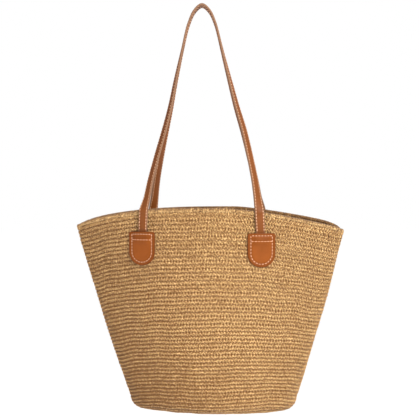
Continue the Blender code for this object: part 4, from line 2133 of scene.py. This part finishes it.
@dataclass
class Studio:
    """A pale floor, soft light all round and the camera where the photograph was taken."""

    aim: Vector = field(default_factory=lambda: Vector((0.01175, 0.0, -0.3168)))
    azimuth: float = math.radians(5.0)
    elevation: float = math.radians(1.3)
    distance: float = 1.7
    seen_width: float = 0.6566
    sensor: float = 36.0
    floor_z: float = -1.6
    floor_radius: float = 30.0
    floor_sides: int = 96
    floor_insets: tuple[float, float] = (0.2, 0.3)
    floor_glow: float = 0.58
    floor_roughness: float = 0.9
    floor_cloud: float = 2.0 / 3.0
    floor_colors: tuple[Color, Color] = ((0.93, 0.93, 0.93), (0.96, 0.96, 0.96))
    sky: float = 0.46
    backdrop: float = 1.0
    lamps: tuple[Lamp, ...] = (
        Lamp("key_light", (1.22, -1.46, 0.95), 0.6, 66.0, (1.0, 0.965, 0.88)),
        Lamp("fill_light", (-1.9, -1.5, 0.2), 1.6, 14.0, (1.0, 0.74, 0.48)),
        Lamp("back_light", (0.4, 2.2, 1.2), 1.6, 24.0, (1.0, 0.98, 0.95)),
    )

    def make_floor(self) -> None:
        """Lay the pale floor, a broad disk cut into rings."""
        deselect_all()
        bpy.ops.mesh.primitive_circle_add(
            vertices=self.floor_sides, radius=self.floor_radius, fill_type="NGON",
            location=(0.0, 0.0, self.floor_z), enter_editmode=True,
        )
        bpy.ops.mesh.select_all(action="SELECT")
        for share in self.floor_insets:
            bpy.ops.mesh.inset(thickness=self.floor_radius * share)
        bpy.ops.object.mode_set(mode="OBJECT")
        floor = bpy.context.object
        floor.name = "studio_floor"
        bpy.ops.object.transform_apply(location=True, rotation=True, scale=True)
        sketch = NodeSketch("pale_floor")
        clouds = sketch.noise(sketch.place(), self.floor_cloud, 2.0)
        floor.data.materials.append(sketch.finish(
            Base_Color=sketch.mix(clouds, *self.floor_colors),
            Roughness=self.floor_roughness,
            Emission_Color=WHITE,
            Emission_Strength=self.floor_glow,
        ))

    def make_light(self) -> None:
        """Set up the even light all round and hang the lamps."""
        scene = bpy.context.scene
        world = bpy.data.worlds.new("studio_air")
        world.use_nodes = True
        tree = world.node_tree
        background = tree.nodes["Background"]
        background.inputs["Color"].default_value = WHITE
        seen = tree.nodes.new("ShaderNodeLightPath").outputs["Is Camera Ray"]
        strength = tree.nodes.new("ShaderNodeMapRange")
        strength.inputs["To Min"].default_value = self.sky
        strength.inputs["To Max"].default_value = self.backdrop
        tree.links.new(seen, strength.inputs["Value"])
        tree.links.new(strength.outputs["Result"], background.inputs["Strength"])
        scene.world = world
        scene.view_settings.view_transform = "Standard"
        deselect_all()
        for lamp in self.lamps:
            lamp.hang(self.aim)

    def make_camera(self) -> None:
        """Stand the camera where the photograph was taken."""
        back = Vector((
            math.sin(self.azimuth) * math.cos(self.elevation),
            -math.cos(self.azimuth) * math.cos(self.elevation),
            math.sin(self.elevation),
        ))
        bpy.ops.object.camera_add(location=self.aim + back * self.distance)
        camera = bpy.context.object
        camera.name = "portrait_camera"
        camera.rotation_euler = (-back).to_track_quat("-Z", "Y").to_euler()
        camera.data.sensor_width = self.sensor
        camera.data.lens = self.sensor * self.distance / self.seen_width
        bpy.context.scene.camera = camera

    def make(self) -> None:
        """Set up the whole studio."""
        self.make_floor()
        self.make_light()
        self.make_camera()


def main() -> None:
    """Build the bag and its studio."""
    logging.basicConfig(level=logging.INFO, format="%(message)s")
    base_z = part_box("basket_body")[0].z
    form = BasketForm(base_z=base_z)
    rows = RowMap(form)
    straw = StrawFinish(
        "straw_stitches", dark=(0.175, 0.072, 0.016), middle=(0.558, 0.326, 0.120),
        light=(0.88, 0.622, 0.300),
    )
    # The web's dark colours are painted shade in the gaps between the stitches.
    web = StrawFinish(
        "straw_web", dark=(0.13, 0.054, 0.014), middle=(0.22, 0.097, 0.028),
        light=(0.30, 0.140, 0.046), fleck_strength=1.0,
    )
    edge = StrawFinish(
        "straw_edge", dark=(0.13, 0.056, 0.016), middle=(0.52, 0.298, 0.108),
        light=(0.84, 0.58, 0.28), roughness=0.585,
    )
    CrochetBasket(rows, straw, web).make()
    RimRound(rows, edge).make()
    Leather(
        form,
        LeatherFinish(
            "strap_leather", color=(0.205, 0.064, 0.017), mottle=(0.16, 0.048, 0.011),
            edge=(0.24, 0.150, 0.100),
        ),
        # The patches' dark edge colour is the leather's own darker cut edge, deepened into painted
        # shadow along the edges.
        LeatherFinish(
            "patch_leather", color=(0.260, 0.068, 0.009), mottle=(0.210, 0.054, 0.007),
            edge=(0.09, 0.024, 0.007),
        ),
        ThreadFinish("seam_thread", color=(0.90, 0.56, 0.36), shade=(0.62, 0.33, 0.18)),
    ).make()
    Studio().make()


if __name__ == "__main__":
    main()
